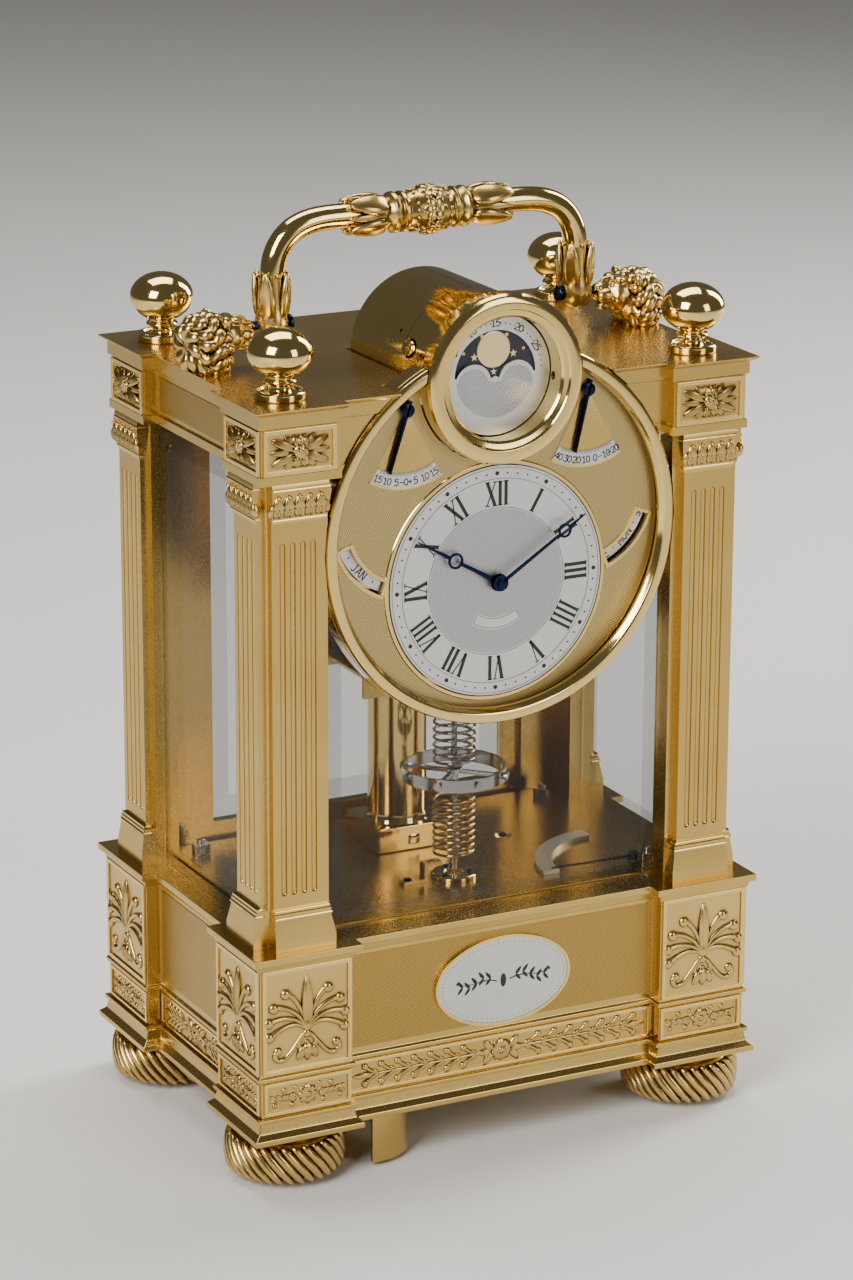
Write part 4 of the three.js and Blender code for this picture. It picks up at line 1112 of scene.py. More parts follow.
lotus = smooth(petal(16.5, 8.6, 2.4, pinch=0.62, groove=0.25))
lotus_places = [along_bar(15.5 * side, 4.6, 45 + 90 * i, side, 7) for side in (-1, 1) for i in range(4)]
lotus_leaves = copies(lotus, lotus_places, "lotus")
sepal = smooth(petal(15.5, 3.4, 1.6, pinch=0.5))
sepal_places = [along_bar(16.5 * side, 4.5, 90 * i, side, 6) for side in (-1, 1) for i in range(4)]
sepals = copies(sepal, sepal_places, "sepals")
curl = smooth(bead(0.95, flat=1.0))
curl_places = [along_bar(31.5 * side, 5.2, 45 * i, side) for side in (-1, 1) for i in range(8)]
curls = copies(curl, curl_places, "curls")
barrel_flower = smooth(rosette(5.0, 6, 1.6))
flowers = copies(barrel_flower, [along_bar(0, 7.1, 60 * i + 20, 1) for i in range(6)], "flowers")
stud = smooth(bead(0.7, flat=1.0))
stud_places = [along_bar(6.3 * side, 7.3, 20 * i, side) for side in (-1, 1) for i in range(18)]
studs = copies(stud, stud_places, "studs")

sheaths = []
for side in (-1, 1):
    sheaths.append(turned("sheath", [
        [0, -5.7], [2.6, -5.5], [4.6, -4.2], [5.7, -1.8], [6.0, 1.0], [5.5, 3.6], [5.0, 6], [4.7, 12],
        [4.6, 17]], (side * HANDLE_X, 0, PIVOT_Z), segments=40, bevel=0))
    leaf = smooth(petal(17.5, 6.4, 1.7, pinch=0.45, groove=0.3))
    foot = Matrix.Translation((side * HANDLE_X * MM, 0, PIVOT_Z * MM))
    stand = Matrix.Rotation(math.radians(90), 4, "X") @ Matrix.Rotation(math.radians(5), 4, "X")
    out = Matrix.Translation((0, -4.5 * MM, 1.5 * MM))
    sheath_places = []
    for i in range(4):
        around = Matrix.Rotation(math.radians(90 * i + 45), 4, "Z")
        sheath_places.append(foot @ around @ out @ stand)
    sheaths.append(copies(leaf, sheath_places, "sheath_leaves"))
    tips = smooth(bead(0.9, flat=1.0))
    tip_places = [Matrix.Translation((side * HANDLE_X * MM, 0, (PIVOT_Z + 17.8) * MM))
                  @ Matrix.Rotation(math.tau * i / 8, 4, "Z") @ Matrix.Translation((5.2 * MM, 0, 0))
                  for i in range(8)]
    sheaths.append(copies(tips, tip_places, "sheath_tips"))
dress(bar, POLISHED_GILT, "handle", "polished_brass", "carrying_handle")
dress(join("handle_ornament", [grip, lotus_leaves, sepals, curls, flowers, studs, *sheaths]), CHASED_GILT,
      "handle", "cast_brass")

# %% [markdown]
# The handle hangs on two blued screws, one in the inner side of each foot. The left one is the
# right one seen in a mirror, so its faces are turned to look outwards again afterwards.

# %% Handle pivot screws
for side, name in ((-1, "left"), (1, "right")):
    node = f"handle_pivot_{name}"
    low, high = low_high(node)
    inner = low.x if side > 0 else high.x
    head = turned(node + "_screw", [
        [0, 0], [2.5, 0], [3, 0.5], [3, 1.5], [1.6, 1.6], [1.6, 17.6], [0, 17.6]],
        (inner, 0, PIVOT_Z), "X", 32, bevel=0.1)
    if side < 0:
        head.scale = (-1, 1, 1)
        head.location = (2 * inner * MM, 0, 0)
        face_out(settle_place(head))
    slit = block("slit", (inner - 0.5, -0.35, PIVOT_Z - 4), (inner + 0.5, 0.35, PIVOT_Z + 4), 0)
    cut(head, slit)
    dress(head, BLUED_STEEL, "root", "blued_steel", node)

# %% [markdown]
# Each lion's head lies on its chin with the muzzle towards the handle. It could be sculpted, but a
# head can also be built up as a modeller lays on wax: balls for the skull, brow, cheeks, muzzle and
# chin are joined and remeshed to one skin. The mane is laid on in rings of wavy tapered locks that
# follow an egg shape, each shifted a little by a seeded random choice, so that no two lie alike.

# %% Lion heads
locks_random = random.Random(7)


def lion_skin():
    """The bare head with its muzzle towards +X, round the origin on the plate."""
    balls = [
        ((-3.6, 0, 7.6), (8.8, 9.4, 8.6)), ((2.8, 0, 11.6), (6.8, 7.2, 6.8)),
        ((7.6, 0, 13.2), (5.6, 3.0, 3.4)), ((11.4, 0, 14.3), (1.9, 2.6, 1.5)),
        ((9.2, 2.5, 11.4), (3.8, 2.5, 2.6)), ((9.2, -2.5, 11.4), (3.8, 2.5, 2.6)),
        ((8.8, 0, 7.6), (3.2, 2.7, 1.9)), ((6.2, 0, 16.2), (4.6, 1.5, 2.0)),
        ((4.6, 3.5, 17.0), (2.2, 2.7, 1.4)), ((4.6, -3.5, 17.0), (2.2, 2.7, 1.4)),
        ((4.4, 5.0, 10.8), (3.2, 2.2, 3.0)), ((4.4, -5.0, 10.8), (3.2, 2.2, 3.0)),
        ((-0.6, 8.2, 17.2), (1.6, 2.2, 2.6)), ((-0.6, -8.2, 17.2), (1.6, 2.2, 2.6)),
    ]
    skin = join("skin", [ball(size, centre) for centre, size in balls])
    modify(skin, "REMESH", mode="VOXEL", voxel_size=0.4 * MM)
    modify(skin, "SMOOTH", factor=0.5, iterations=4)
    eyes = []
    for side in (-1, 1):
        eyes.append(bead(1.15, 6.8, side * 3.3, 15.0, 1.0))
        eyes.append(bead(0.6, 12.9, side * 1.2, 13.8, 1.0))
    return smooth(join("skin", [skin, *eyes]))


MANE_CENTRE = Vector((-3.6, 0, 8.2))
MANE_SIZE = Vector((9.2, 10.6, 9.4))
# Each ring of locks: where it starts, how far it reaches back, how many locks, how high it lies.
MANE_RINGS = ((58, 44, 12, 0.2), (76, 52, 13, 0.8), (98, 54, 12, 1.0), (124, 50, 8, 0.6))
LOCK_STEPS = 7


def mane_point(back, around, lift):
    """A point on the egg shape of the mane: back degrees from the muzzle, around degrees from up."""
    b, a = math.radians(back), math.radians(around)
    way = Vector((math.cos(b), math.sin(b) * math.sin(a), math.sin(b) * math.cos(a)))
    place = MANE_CENTRE + Vector(way[i] * (MANE_SIZE[i] + lift) for i in range(3))
    place.z = max(place.z, 0.9)
    return place


def mane():
    """Wavy tapered locks in overlapping rings, swept back from the face and down to the plate."""
    locks = []
    for ring, (start, reach, count, lift) in enumerate(MANE_RINGS):
        for i in range(count):
            around = -150 + 300 * (i + 0.5 * (ring % 2)) / (count - 1)
            wave = locks_random.uniform(9, 17)
            phase = 1.4 * ring + locks_random.uniform(-0.6, 0.6)
            lock = []
            for step in range(LOCK_STEPS + 1):
                along = step / LOCK_STEPS
                swing = wave * math.sin(phase + along * 6.0)
                curl = lift + 1.0 * math.sin(along * 5.6) - 0.8
                thick = 2.7 * (1 - 0.82 * along ** 1.5) * (0.5 + 0.5 * min(1, along * 4))
                lock.append((*mane_point(start + reach * along, around + swing, curl), thick))
            locks.append(lock)
    return smooth(swept("mane", locks, steps=4))


face = lion_skin()
for vertex in face.data.vertices:
    vertex.co.z = max(vertex.co.z, 0.05 * MM)
lion = join("lion", [face, mane()])
MUZZLE = 13.6
lion_x = low_high("lion_head_left")[1].x - MUZZLE
bpy.context.view_layer.update()
for side, name in ((-1, "left"), (1, "right")):
    twin = twin_of(lion)
    twin.matrix_world = (Matrix.Translation((side * abs(lion_x) * MM, 0, TOP * MM))
                         @ Matrix.Rotation(0 if side < 0 else math.pi, 4, "Z"))
    head = settle_place(twin)
    head.name = f"lion_head_{name}_chased"
    dress(head, CHASED_GILT, "root", "cast_brass", f"lion_head_{name}")
bpy.data.objects.remove(lion)

# %% [markdown]
# The watch dock is a heavy polished ring with a bore for the watch, and behind it a round cover
# like a short can, half sunk in the top. The cover has a button in a scooped hollow, a small
# sighting hole and two fine joints where its parts meet.

# %% Watch dock ring and cover
bore = DOCK_RADIUS - 8.3
dock_back = low_high("dock_bezel")[1].y
dock_ring = turned("dock_bezel_turned", [
    [bore, dock_back], [bore, DOCK_FRONT + 1.9], [22.4, DOCK_FRONT + 1.0], [24.2, DOCK_FRONT + 0.75],
    [24.7, DOCK_FRONT + 0.1], [26.8, DOCK_FRONT], [28.2, DOCK_FRONT + 0.3], [29.2, DOCK_FRONT + 0.9],
    [DOCK_RADIUS, DOCK_FRONT + 1.9], [DOCK_RADIUS, -54.1], [24.2, -54.1], [24.2, dock_back]],
    (0, 0, DOCK_Z), "Y", 144, ring=True)
socket_hole = rod("socket", 1.5, (16, -54.3, DOCK_Z - 2), (26, -54.3, DOCK_Z - 2))
cut(dock_ring, socket_hole)
dress(dock_ring, POLISHED_GILT, "root", "polished_brass", "dock_bezel")
socket_plug = rod("dock_socket", 1.2, (22.2, -54.3, DOCK_Z - 2), (24.0, -54.3, DOCK_Z - 2), 24)
dress(soften(socket_plug, 0.1), BLACK_WAX, "root", "blued_steel")

can_low, can_high = low_high("dock_cover")
can_radius = can_high.x
can_inner = can_radius - 2.2
joint_y = -33.5
JOINT_HALF = 0.12
outer_wall = [[can_radius, can_low.y + step] for step in range(0, 20, 2)]
rear_wall = [[can_radius, y] for y in range(-31, 3, 3)]
inner_wall = [[can_inner, y - 0.05] for y in range(-30, -53, -2)]
joint_floor = can_radius - 0.35
joint = [[can_radius, joint_y - JOINT_HALF], [joint_floor, joint_y - JOINT_HALF],
         [joint_floor, joint_y + JOINT_HALF], [can_radius, joint_y + JOINT_HALF]]
can = turned("dock_cover_turned", [
    [0, can_high.y - 1.6], [can_inner, can_high.y - 1.6], *inner_wall, [can_inner, can_low.y],
    *outer_wall, *joint, *rear_wall, [can_radius, can_high.y - 0.6], [can_radius - 0.6, can_high.y],
    [0, can_high.y]], (0, 0, DOCK_Z), "Y", 144, bevel=0)
button = middle("dock_button")
button_way = Vector((button.x, 0, button.z - DOCK_Z)).normalized()
button_foot = Vector((0, button.y, DOCK_Z))
hole = rod("hole", 3.4, button_foot + button_way * 20, button_foot + button_way * 32)
scoop = ball((6.2, 8.0, 6.2), button_foot + button_way * (can_radius + 4.7), 40, 24)
sight_way = Vector((-20, 0, 290.3 - DOCK_Z)).normalized()
sight_foot = Vector((0, -27.5, DOCK_Z))
sight = rod("sight", 0.75, sight_foot + sight_way * 20, sight_foot + sight_way * 32, 20)
long_joint = block("joint", (-JOINT_HALF, joint_y, DOCK_Z + can_radius - 0.4),
                   (JOINT_HALF, can_high.y + 1, DOCK_Z + can_radius + 1), 0)
cut(can, scoop, hole, sight, long_joint)
dress(can, POLISHED_GILT, "root", "polished_brass", "dock_cover")
knob = turned("dock_button_turned", [
    [0, 20.5], [5, 20.5], [5, 22.5], [2.8, 22.5], [2.8, 26.6], [2.4, 27.3], [1.4, 27.7], [0, 27.8]],
    segments=48)
knob.matrix_world = (Matrix.Translation(button_foot * MM)
                     @ button_way.to_track_quat("Z", "Y").to_matrix().to_4x4())
dress(settle_place(knob), POLISHED_GILT, "button", "gilt_brass", "dock_button")

# %% [markdown]
# The dial case is a deep ring with a rounded bezel. It and the dial plate both give way to the
# watch dock, which overlaps the top: every piece is turned whole first and a cylinder the size of
# the dock is then taken out of it, as it would be on a lathe with a second setting.

# %% Dial case, bezel and plate
DOCK_CLEARANCE = DOCK_RADIUS + 0.35


def dock_cutter():
    return rod("dock_cutter", DOCK_CLEARANCE, (0, -70, DOCK_Z), (0, -40, DOCK_Z), 144)


case_back = low_high("dial_case")[1].y
rim_front = low_high("dial_bezel")[0].y
case_ring = turned("dial_case_turned", [
    [0, -49.3], [DIAL_RADIUS - 3.6, -49.3], [DIAL_RADIUS - 3.6, -56], [DIAL_RADIUS, -56],
    [DIAL_RADIUS, case_back - 0.5], [DIAL_RADIUS - 0.5, case_back], [0, case_back]],
    (0, 0, DIAL_Z), "Y", 192)
cut(case_ring, dock_cutter(), rod("bore", 2.4, (0, -52, HANDS_Z), (0, -46, HANDS_Z), 32))
dress(case_ring, POLISHED_GILT, "root", "gilt_brass", "dial_case")
rim = turned("dial_bezel_turned", [
    [62.6, -56], [62.6, -57.4], [63.2, -58.1], [63.9, -59.2], [64.7, rim_front], [66.5, rim_front],
    [67.3, -59.2], [DIAL_RADIUS, -58.5], [DIAL_RADIUS, -56]], (0, 0, DIAL_Z), "Y", 192, ring=True)
cut(rim, dock_cutter())
dress(rim, POLISHED_GILT, "root", "polished_brass", "dial_bezel")


def disc(name, radius, y0, y1, x=0.0, z=DIAL_Z, hole=0.0, segments=144, bevel=0.08):
    """A flat disc facing the front, at (x, z), with its front at y0."""
    if hole:
        profile = [[hole, y0], [radius, y0], [radius, y1], [hole, y1]]
    else:
        profile = [[0, y0], [radius, y0], [radius, y1], [0, y1]]
    return turned(name, profile, (x, 0, z), "Y", segments, ring=bool(hole), bevel=bevel)


def sector(name, inner, outer, first, last, y0, y1, x, z, steps=28, bevel=0.0):
    """A piece of a flat ring facing the front, from first to last degree, counted up from +X."""
    outline = arc(outer, outer, first, last, steps, x, z) + arc(inner, inner, last, first, steps, x, z)
    return plate(name, outline, y0, y1, bevel)


# The two sector scales: pivots, radii and how far each reaches to either side of straight down.
SCALE_X = 35.0
SCALE_Z = 271.3
SCALE_INNER = 22.3
SCALE_OUTER = 27.2
SCALE_HALF = 29.0

# The calendar slots: their centres, radii and the angles of the right one.
SLOT_X = 33.5
SLOT_Z = 233.5
SLOT_INNER = 24.0
SLOT_OUTER = 28.6
SLOT_FIRST = -67.0
SLOT_LAST = -20.5
SLOT_ANGLES = {1: (SLOT_FIRST, SLOT_LAST), -1: (180 - SLOT_LAST, 180 - SLOT_FIRST)}
plate_radius = low_high("dial_plate")[1].x
face = disc("dial_plate_turned", plate_radius, PLATE_FRONT, -52.3)
cut(face, dock_cutter(), rod("well", CHAPTER_RADIUS + 0.4, (0, -56, HANDS_Z), (0, -50, HANDS_Z), 144))
for side in (-1, 1):
    cut(face, sector("slot", SLOT_INNER, SLOT_OUTER, *SLOT_ANGLES[side], -56, -50, side * SLOT_X, SLOT_Z))
dress(face, TURNED_DIAL, "root", "gilt_brass", "dial_plate")

# %% [markdown]
# Polished rims go round everything on the dial: round the chapter ring, round the slots and round
# the two sector scales. They catch the light as thin bright lines.

# %% Rims on the dial plate
rims = [turned("rim", [
    [CHAPTER_RADIUS + 0.35, PLATE_FRONT - 0.45], [CHAPTER_RADIUS + 1.5, PLATE_FRONT - 0.45],
    [CHAPTER_RADIUS + 1.9, PLATE_FRONT], [CHAPTER_RADIUS + 0.35, PLATE_FRONT]],
    (0, 0, HANDS_Z), "Y", 144, ring=True, bevel=0.1)]
for side in (-1, 1):
    first, last = SLOT_ANGLES[side]
    for inner, outer in ((SLOT_OUTER, SLOT_OUTER + 1.3), (SLOT_INNER - 1.3, SLOT_INNER)):
        rims.append(sector("rim", inner, outer, first - 2.5, last + 2.5, PLATE_FRONT - 0.4, PLATE_FRONT,
                           side * SLOT_X, SLOT_Z, bevel=0.12))
    for angle in (first - 1.3, last + 1.3):
        rims.append(sector("rim", SLOT_INNER, SLOT_OUTER, angle - 1.3, angle + 1.3, PLATE_FRONT - 0.4,
                           PLATE_FRONT, side * SLOT_X, SLOT_Z, 3, bevel=0.12))
    rims.append(sector("rim", SCALE_OUTER, SCALE_OUTER + 0.8, -90 - SCALE_HALF - 1, -90 + SCALE_HALF + 1,
                       PLATE_FRONT - 0.5, PLATE_FRONT, side * SCALE_X, SCALE_Z, bevel=0.1))
dress(join("dial_rims", rims), POLISHED_GILT, "root", "polished_brass")

# %% [markdown]
# Numerals on a dial are engraved and filled with wax. Arabic figures are drawn here as strokes
# along short lines, and roman ones as bars: a thick one for each I, a thick and a thin one for V,
# and a thin one crossing a thick one for X, each with small feet. They stand a hair proud, because
# a filled engraving in real metal does too.

# %% Strokes, figures and letters
# Each figure or letter is drawn in a box one unit wide and one and a half tall, as lines of points.
STROKES = {
    "0": [[(0.5, 1.5), (0.85, 1.3), (1, 0.75), (0.85, 0.2), (0.5, 0), (0.15, 0.2), (0, 0.75), (0.15, 1.3),
           (0.5, 1.5)]],
    "1": [[(0.2, 1.2), (0.55, 1.5), (0.55, 0)], [(0.25, 0), (0.85, 0)]],
    "2": [[(0.05, 1.2), (0.25, 1.45), (0.7, 1.48), (0.95, 1.15), (0.85, 0.8), (0.05, 0.0), (1, 0)]],
    "3": [[(0.05, 1.5), (0.9, 1.5), (0.45, 0.92), (0.85, 0.75), (0.98, 0.4), (0.7, 0.05), (0.3, 0),
           (0, 0.2)]],
    "4": [[(0.72, 0), (0.72, 1.5), (0, 0.45), (1, 0.45)]],
    "5": [[(0.95, 1.5), (0.2, 1.5), (0.12, 0.85), (0.6, 0.98), (0.95, 0.7), (0.95, 0.3), (0.6, 0),
           (0.05, 0.1)]],
    "+": [[(0.5, 0.4), (0.5, 1.1)], [(0.1, 0.75), (0.9, 0.75)]],
    "-": [[(0.1, 0.75), (0.9, 0.75)]],
    "A": [[(0, 0), (0.5, 1.5), (1, 0)], [(0.2, 0.55), (0.8, 0.55)]],
    "B": [[(0.1, 0), (0.1, 1.5), (0.7, 1.45), (0.85, 1.15), (0.65, 0.82), (0.1, 0.8)],
          [(0.65, 0.82), (0.95, 0.5), (0.8, 0.08), (0.1, 0)]],
    "C": [[(0.95, 1.25), (0.6, 1.5), (0.2, 1.3), (0, 0.75), (0.2, 0.2), (0.6, 0), (0.95, 0.25)]],
    "D": [[(0.1, 0), (0.1, 1.5), (0.6, 1.42), (1, 0.75), (0.6, 0.08), (0.1, 0)]],
    "E": [[(0.95, 1.5), (0.1, 1.5), (0.1, 0), (0.95, 0)], [(0.1, 0.78), (0.75, 0.78)]],
    "F": [[(0.95, 1.5), (0.1, 1.5), (0.1, 0)], [(0.1, 0.78), (0.75, 0.78)]],
    "G": [[(0.95, 1.25), (0.6, 1.5), (0.2, 1.3), (0, 0.75), (0.2, 0.2), (0.6, 0), (0.95, 0.2), (0.95, 0.7),
           (0.55, 0.7)]],
    "H": [[(0.1, 0), (0.1, 1.5)], [(0.9, 0), (0.9, 1.5)], [(0.1, 0.78), (0.9, 0.78)]],
    "I": [[(0.5, 0), (0.5, 1.5)]],
    "J": [[(0.7, 1.5), (0.7, 0.3), (0.45, 0), (0.1, 0.15)]],
    "L": [[(0.1, 1.5), (0.1, 0), (0.9, 0)]],
    "M": [[(0.05, 0), (0.1, 1.5), (0.5, 0.6), (0.9, 1.5), (0.95, 0)]],
    "N": [[(0.1, 0), (0.1, 1.5), (0.9, 0), (0.9, 1.5)]],
    "O": [[(0.5, 1.5), (0.9, 1.25), (1, 0.75), (0.9, 0.25), (0.5, 0), (0.1, 0.25), (0, 0.75), (0.1, 1.25),
           (0.5, 1.5)]],
    "P": [[(0.1, 0), (0.1, 1.5), (0.7, 1.45), (0.92, 1.1), (0.7, 0.72), (0.1, 0.7)]],
    "R": [[(0.1, 0), (0.1, 1.5), (0.7, 1.45), (0.92, 1.1), (0.7, 0.75), (0.1, 0.72)],
          [(0.5, 0.72), (0.95, 0)]],
    "S": [[(0.9, 1.3), (0.5, 1.5), (0.1, 1.2), (0.3, 0.85), (0.75, 0.65), (0.9, 0.3), (0.5, 0),
           (0.05, 0.2)]],
    "T": [[(0.5, 0), (0.5, 1.5)], [(0.02, 1.5), (0.98, 1.5)]],
    "U": [[(0.1, 1.5), (0.1, 0.35), (0.35, 0), (0.65, 0), (0.9, 0.35), (0.9, 1.5)]],
    "V": [[(0.02, 1.5), (0.5, 0), (0.98, 1.5)]],
    "W": [[(0, 1.5), (0.25, 0), (0.5, 1.0), (0.75, 0), (1, 1.5)]],
    "Y": [[(0.02, 1.5), (0.5, 0.75), (0.98, 1.5)], [(0.5, 0.75), (0.5, 0)]],
}
WAX_THICKNESS = 0.09


def stroke_mesh(lines, width, thickness=WAX_THICKNESS):
    """Flat strokes of even width along lines of points on the XY page, all in one piece."""
    mesh_points = []
    mesh_faces = []
    for line in lines:
        path = [Vector(point) for point in line]
        for start, end in zip(path, path[1:]):
            way = (end - start).normalized()
            across = Vector((-way.y, way.x)) * width / 2
            reach = way * width * 0.42
            first = len(mesh_points)
            for level in (0.0, thickness):
                for corner in (start - reach - across, start - reach + across, end + reach + across,
                               end + reach - across):
                    mesh_points.append((corner.x * MM, corner.y * MM, level * MM))
            a, b, c, d, e, f, g, h = range(first, first + 8)
            mesh_faces += [(a, b, c, d), (h, g, f, e), (b, a, e, f), (c, b, f, g), (d, c, g, h),
                           (a, d, h, e)]
    mesh = bpy.data.meshes.new("strokes")
    mesh.from_pydata(mesh_points, [], mesh_faces)
    made = bpy.data.objects.new("strokes", mesh)
    bpy.context.scene.collection.objects.link(made)
    return face_out(made)


def word_lines(word, height, pitch=0.92):
    """The strokes of a word, centred on the origin, with letters as tall as height."""
    scale = height / 1.5
    advance = 1.42 * pitch * scale
    lines = []
    for i, letter in enumerate(word):
        x0 = (i - (len(word) - 1) / 2) * advance - scale / 2
        for line in STROKES[letter]:
            lines.append([(x0 + x * scale, y * scale - height / 2) for x, y in line])
    return lines


def turn_lines(lines, degrees, x=0.0, y=0.0):
    c, s = math.cos(math.radians(degrees)), math.sin(math.radians(degrees))
    return [[(x + px * c - py * s, y + px * s + py * c) for px, py in line] for line in lines]


def place_page(piece, x, z, y):
    """Stands a page upright at a point, facing the front."""
    piece.matrix_world = wall(x, y, z, "front")
    return settle_place(piece)


# %% [markdown]
# The chapter dial is silvered. Its hours are roman numerals that stand on a circle, and the dots
# round the edge mark the minutes. The middle is engine turned, and at six there is a blank label,
# where a maker would sign.

# %% Chapter dial
NUMERAL_INNER = 27.0
NUMERAL_OUTER = 35.6
DOT_RADIUS = 38.5
CENTRE_RADIUS = 25.8
ROMAN = ("XII", "I", "II", "III", "IIII", "V", "VI", "VII", "VIII", "IX", "X", "XI")
THICK = 1.25
THIN = 0.4
chapter = disc("chapter_dial_turned", CHAPTER_RADIUS - 0.1, CHAPTER_FRONT, -52, z=HANDS_Z, hole=2.4)
dress(chapter, SILVERED, "root", "silvered_brass", "chapter_dial")
centre_plate = disc("chapter_centre", CENTRE_RADIUS, CHAPTER_FRONT - 0.12, CHAPTER_FRONT + 0.2, z=HANDS_Z,
                    hole=2.4, bevel=0.05)
dress(centre_plate, TURNED_SILVER, "root", "silvered_brass")
LETTER_WIDTHS = {"I": 2.3, "V": 4.5, "X": 4.7}


def roman_strokes(word):
    """Thick and thin strokes of one numeral, standing between the two numeral circles."""
    height = NUMERAL_OUTER - NUMERAL_INNER
    thick, thin, feet = [], [], []
    total = sum(LETTER_WIDTHS[letter] for letter in word)
    squeeze = min(1.0, 11.4 / total)
    x = -total * squeeze / 2
    for letter in word:
        width = LETTER_WIDTHS[letter] * squeeze
        left, right, centre = x + 0.35, x + width - 0.35, x + width / 2
        if letter == "I":
            thick.append([(centre, 0.5), (centre, height - 0.5)])
            feet.append([(centre - 0.75, height - 0.1), (centre + 0.75, height - 0.1)])
            feet.append([(centre - 0.75, 0.1), (centre + 0.75, 0.1)])
        elif letter == "V":
            thick.append([(left + 0.6, height - 0.5), (centre, 0.6)])
            thin.append([(centre, 0.5), (right - 0.5, height - 0.3)])
            feet.append([(left - 0.1, height - 0.1), (left + 1.3, height - 0.1)])
            feet.append([(right - 1.1, height - 0.1), (right + 0.1, height - 0.1)])
        else:
            thick.append([(left + 0.6, height - 0.5), (right - 0.6, 0.5)])
            thin.append([(left + 0.5, 0.4), (right - 0.5, height - 0.4)])
            for foot_x in (left + 0.5, right - 0.5):
                feet.append([(foot_x - 0.7, height - 0.1), (foot_x + 0.7, height - 0.1)])
                feet.append([(foot_x - 0.7, 0.1), (foot_x + 0.7, 0.1)])
        x += width
    return thick, thin + feet


wax = []
for hour, word in enumerate(ROMAN):
    thick_lines, thin_lines = roman_strokes(word)
    for lines, width in ((thick_lines, THICK * (0.85 if len(word) > 3 else 1)), (thin_lines, THIN)):
        stood = [[(x, y + NUMERAL_INNER) for x, y in line] for line in lines]
        wax.append(stroke_mesh(turn_lines(stood, -30 * hour), width))
for minute in range(60):
    big = minute % 5 == 0
    angle = math.radians(6 * minute)
    focus(None)
    bpy.ops.mesh.primitive_cylinder_add(vertices=16, radius=(0.78 if big else 0.34) * MM,
                                        depth=WAX_THICKNESS * MM,
                                        location=(DOT_RADIUS * math.sin(angle) * MM,
                                                  DOT_RADIUS * math.cos(angle) * MM, WAX_THICKNESS / 2 * MM))
    wax.append(settle_place(bpy.context.object))
ring_lines = [arc(CENTRE_RADIUS + 0.5, CENTRE_RADIUS + 0.5, 0, 360, 96), arc(40.4, 40.4, 0, 360, 128),
              arc(36.6, 36.6, 0, 360, 128)]
wax.append(stroke_mesh(ring_lines, 0.16))
numerals = join("chapter_numerals", wax)
dress(place_page(numerals, 0, HANDS_Z, CHAPTER_FRONT + 0.02), BLACK_WAX, "root", "blued_steel")
LABEL_RADII = (13.4, 16.8)
LABEL_ANGLES = (-123, -57)
wax_outline = [arc(radius, radius, *LABEL_ANGLES, 16) for radius in LABEL_RADII]
wax_outline += [[polar(radius, angle) for radius in LABEL_RADII] for angle in LABEL_ANGLES]
outline = place_page(stroke_mesh(wax_outline, 0.16), 0, HANDS_Z, CHAPTER_FRONT - 0.28)
dress(outline, BLACK_WAX, "root", "blued_steel")
label = sector("cartouche", 12.8, 17.4, -90 - 34, -90 + 34, CHAPTER_FRONT - 0.3, CHAPTER_FRONT, 0, HANDS_Z,
               bevel=0.12)
dress(label, SILVERED, "root", "silvered_brass")

# %% [markdown]
# On the left a pointer shows how far the sun is ahead or behind the clock, and on the right one
# shows the temperature. Each has a silver band with numbers in a sector of a ring, and a fan of
# fine rays above it.

# %% Sector scales
scale_wax = []
for side, labels in ((-1, ("15", "10", "5", "-0+", "5", "10", "15")),
                     (1, ("-20", "-10", "0", "10", "20", "30", "40"))):
    centre_x = side * SCALE_X
    band = sector("sector_scale", SCALE_INNER, SCALE_OUTER, -90 - SCALE_HALF, -90 + SCALE_HALF,
                  PLATE_FRONT - 0.35, PLATE_FRONT, centre_x, SCALE_Z, bevel=0.05)
    cut(band, dock_cutter())
    dress(band, SILVERED, "root", "silvered_brass")
    fan = sector("fan", 3.4, SCALE_INNER - 0.5, -90 - SCALE_HALF, -90 + SCALE_HALF, PLATE_FRONT - 0.12,
                 PLATE_FRONT, centre_x, SCALE_Z)
    cut(fan, dock_cutter())
    dress(fan, SATIN_GILT, "root", "gilt_brass")
    rays = []
    for i in range(25):
        angle = -90 - SCALE_HALF + i * SCALE_HALF / 12
        rays.append([polar(radius, angle) for radius in (4.0, SCALE_INNER - 0.8)])
    rays = place_page(stroke_mesh(rays, 0.16, 0.05), centre_x, SCALE_Z, PLATE_FRONT - 0.12)
    cut(rays, dock_cutter())
    dress(rays, POLISHED_GILT, "root", "polished_brass")
    lines = []
    for i, text in enumerate(labels if side < 0 else labels[::-1]):
        angle = -90 - SCALE_HALF * 0.86 + i * SCALE_HALF * 1.72 / (len(labels) - 1)
        mid = (SCALE_INNER + SCALE_OUTER) / 2 + 0.55
        lines += turn_lines(word_lines(text, 2.3, 0.74), angle + 90, *polar(mid, angle))
    ticks = []
    for i in range(37):
        angle = -90 - SCALE_HALF * 0.86 + i * SCALE_HALF * 1.72 / 36
        reach = 1.05 if i % 3 == 0 else 0.6
        ticks.append([polar(SCALE_INNER + step, angle) for step in (0.15, reach)])
    words = join("scale_wax", [stroke_mesh(lines, 0.34), stroke_mesh(ticks, 0.16)])
    scale_wax.append(place_page(words, centre_x, SCALE_Z, PLATE_FRONT - 0.34))
dress(join("scale_numbers", scale_wax), BLACK_WAX, "root", "blued_steel")

# %% [markdown]
# The dark enamel disc carries a gold moon and stars past a window in a silvered mask. Two humps in
# the lower edge of the window hide the moon as it comes and goes. The age of the moon in days
# stands round the window.

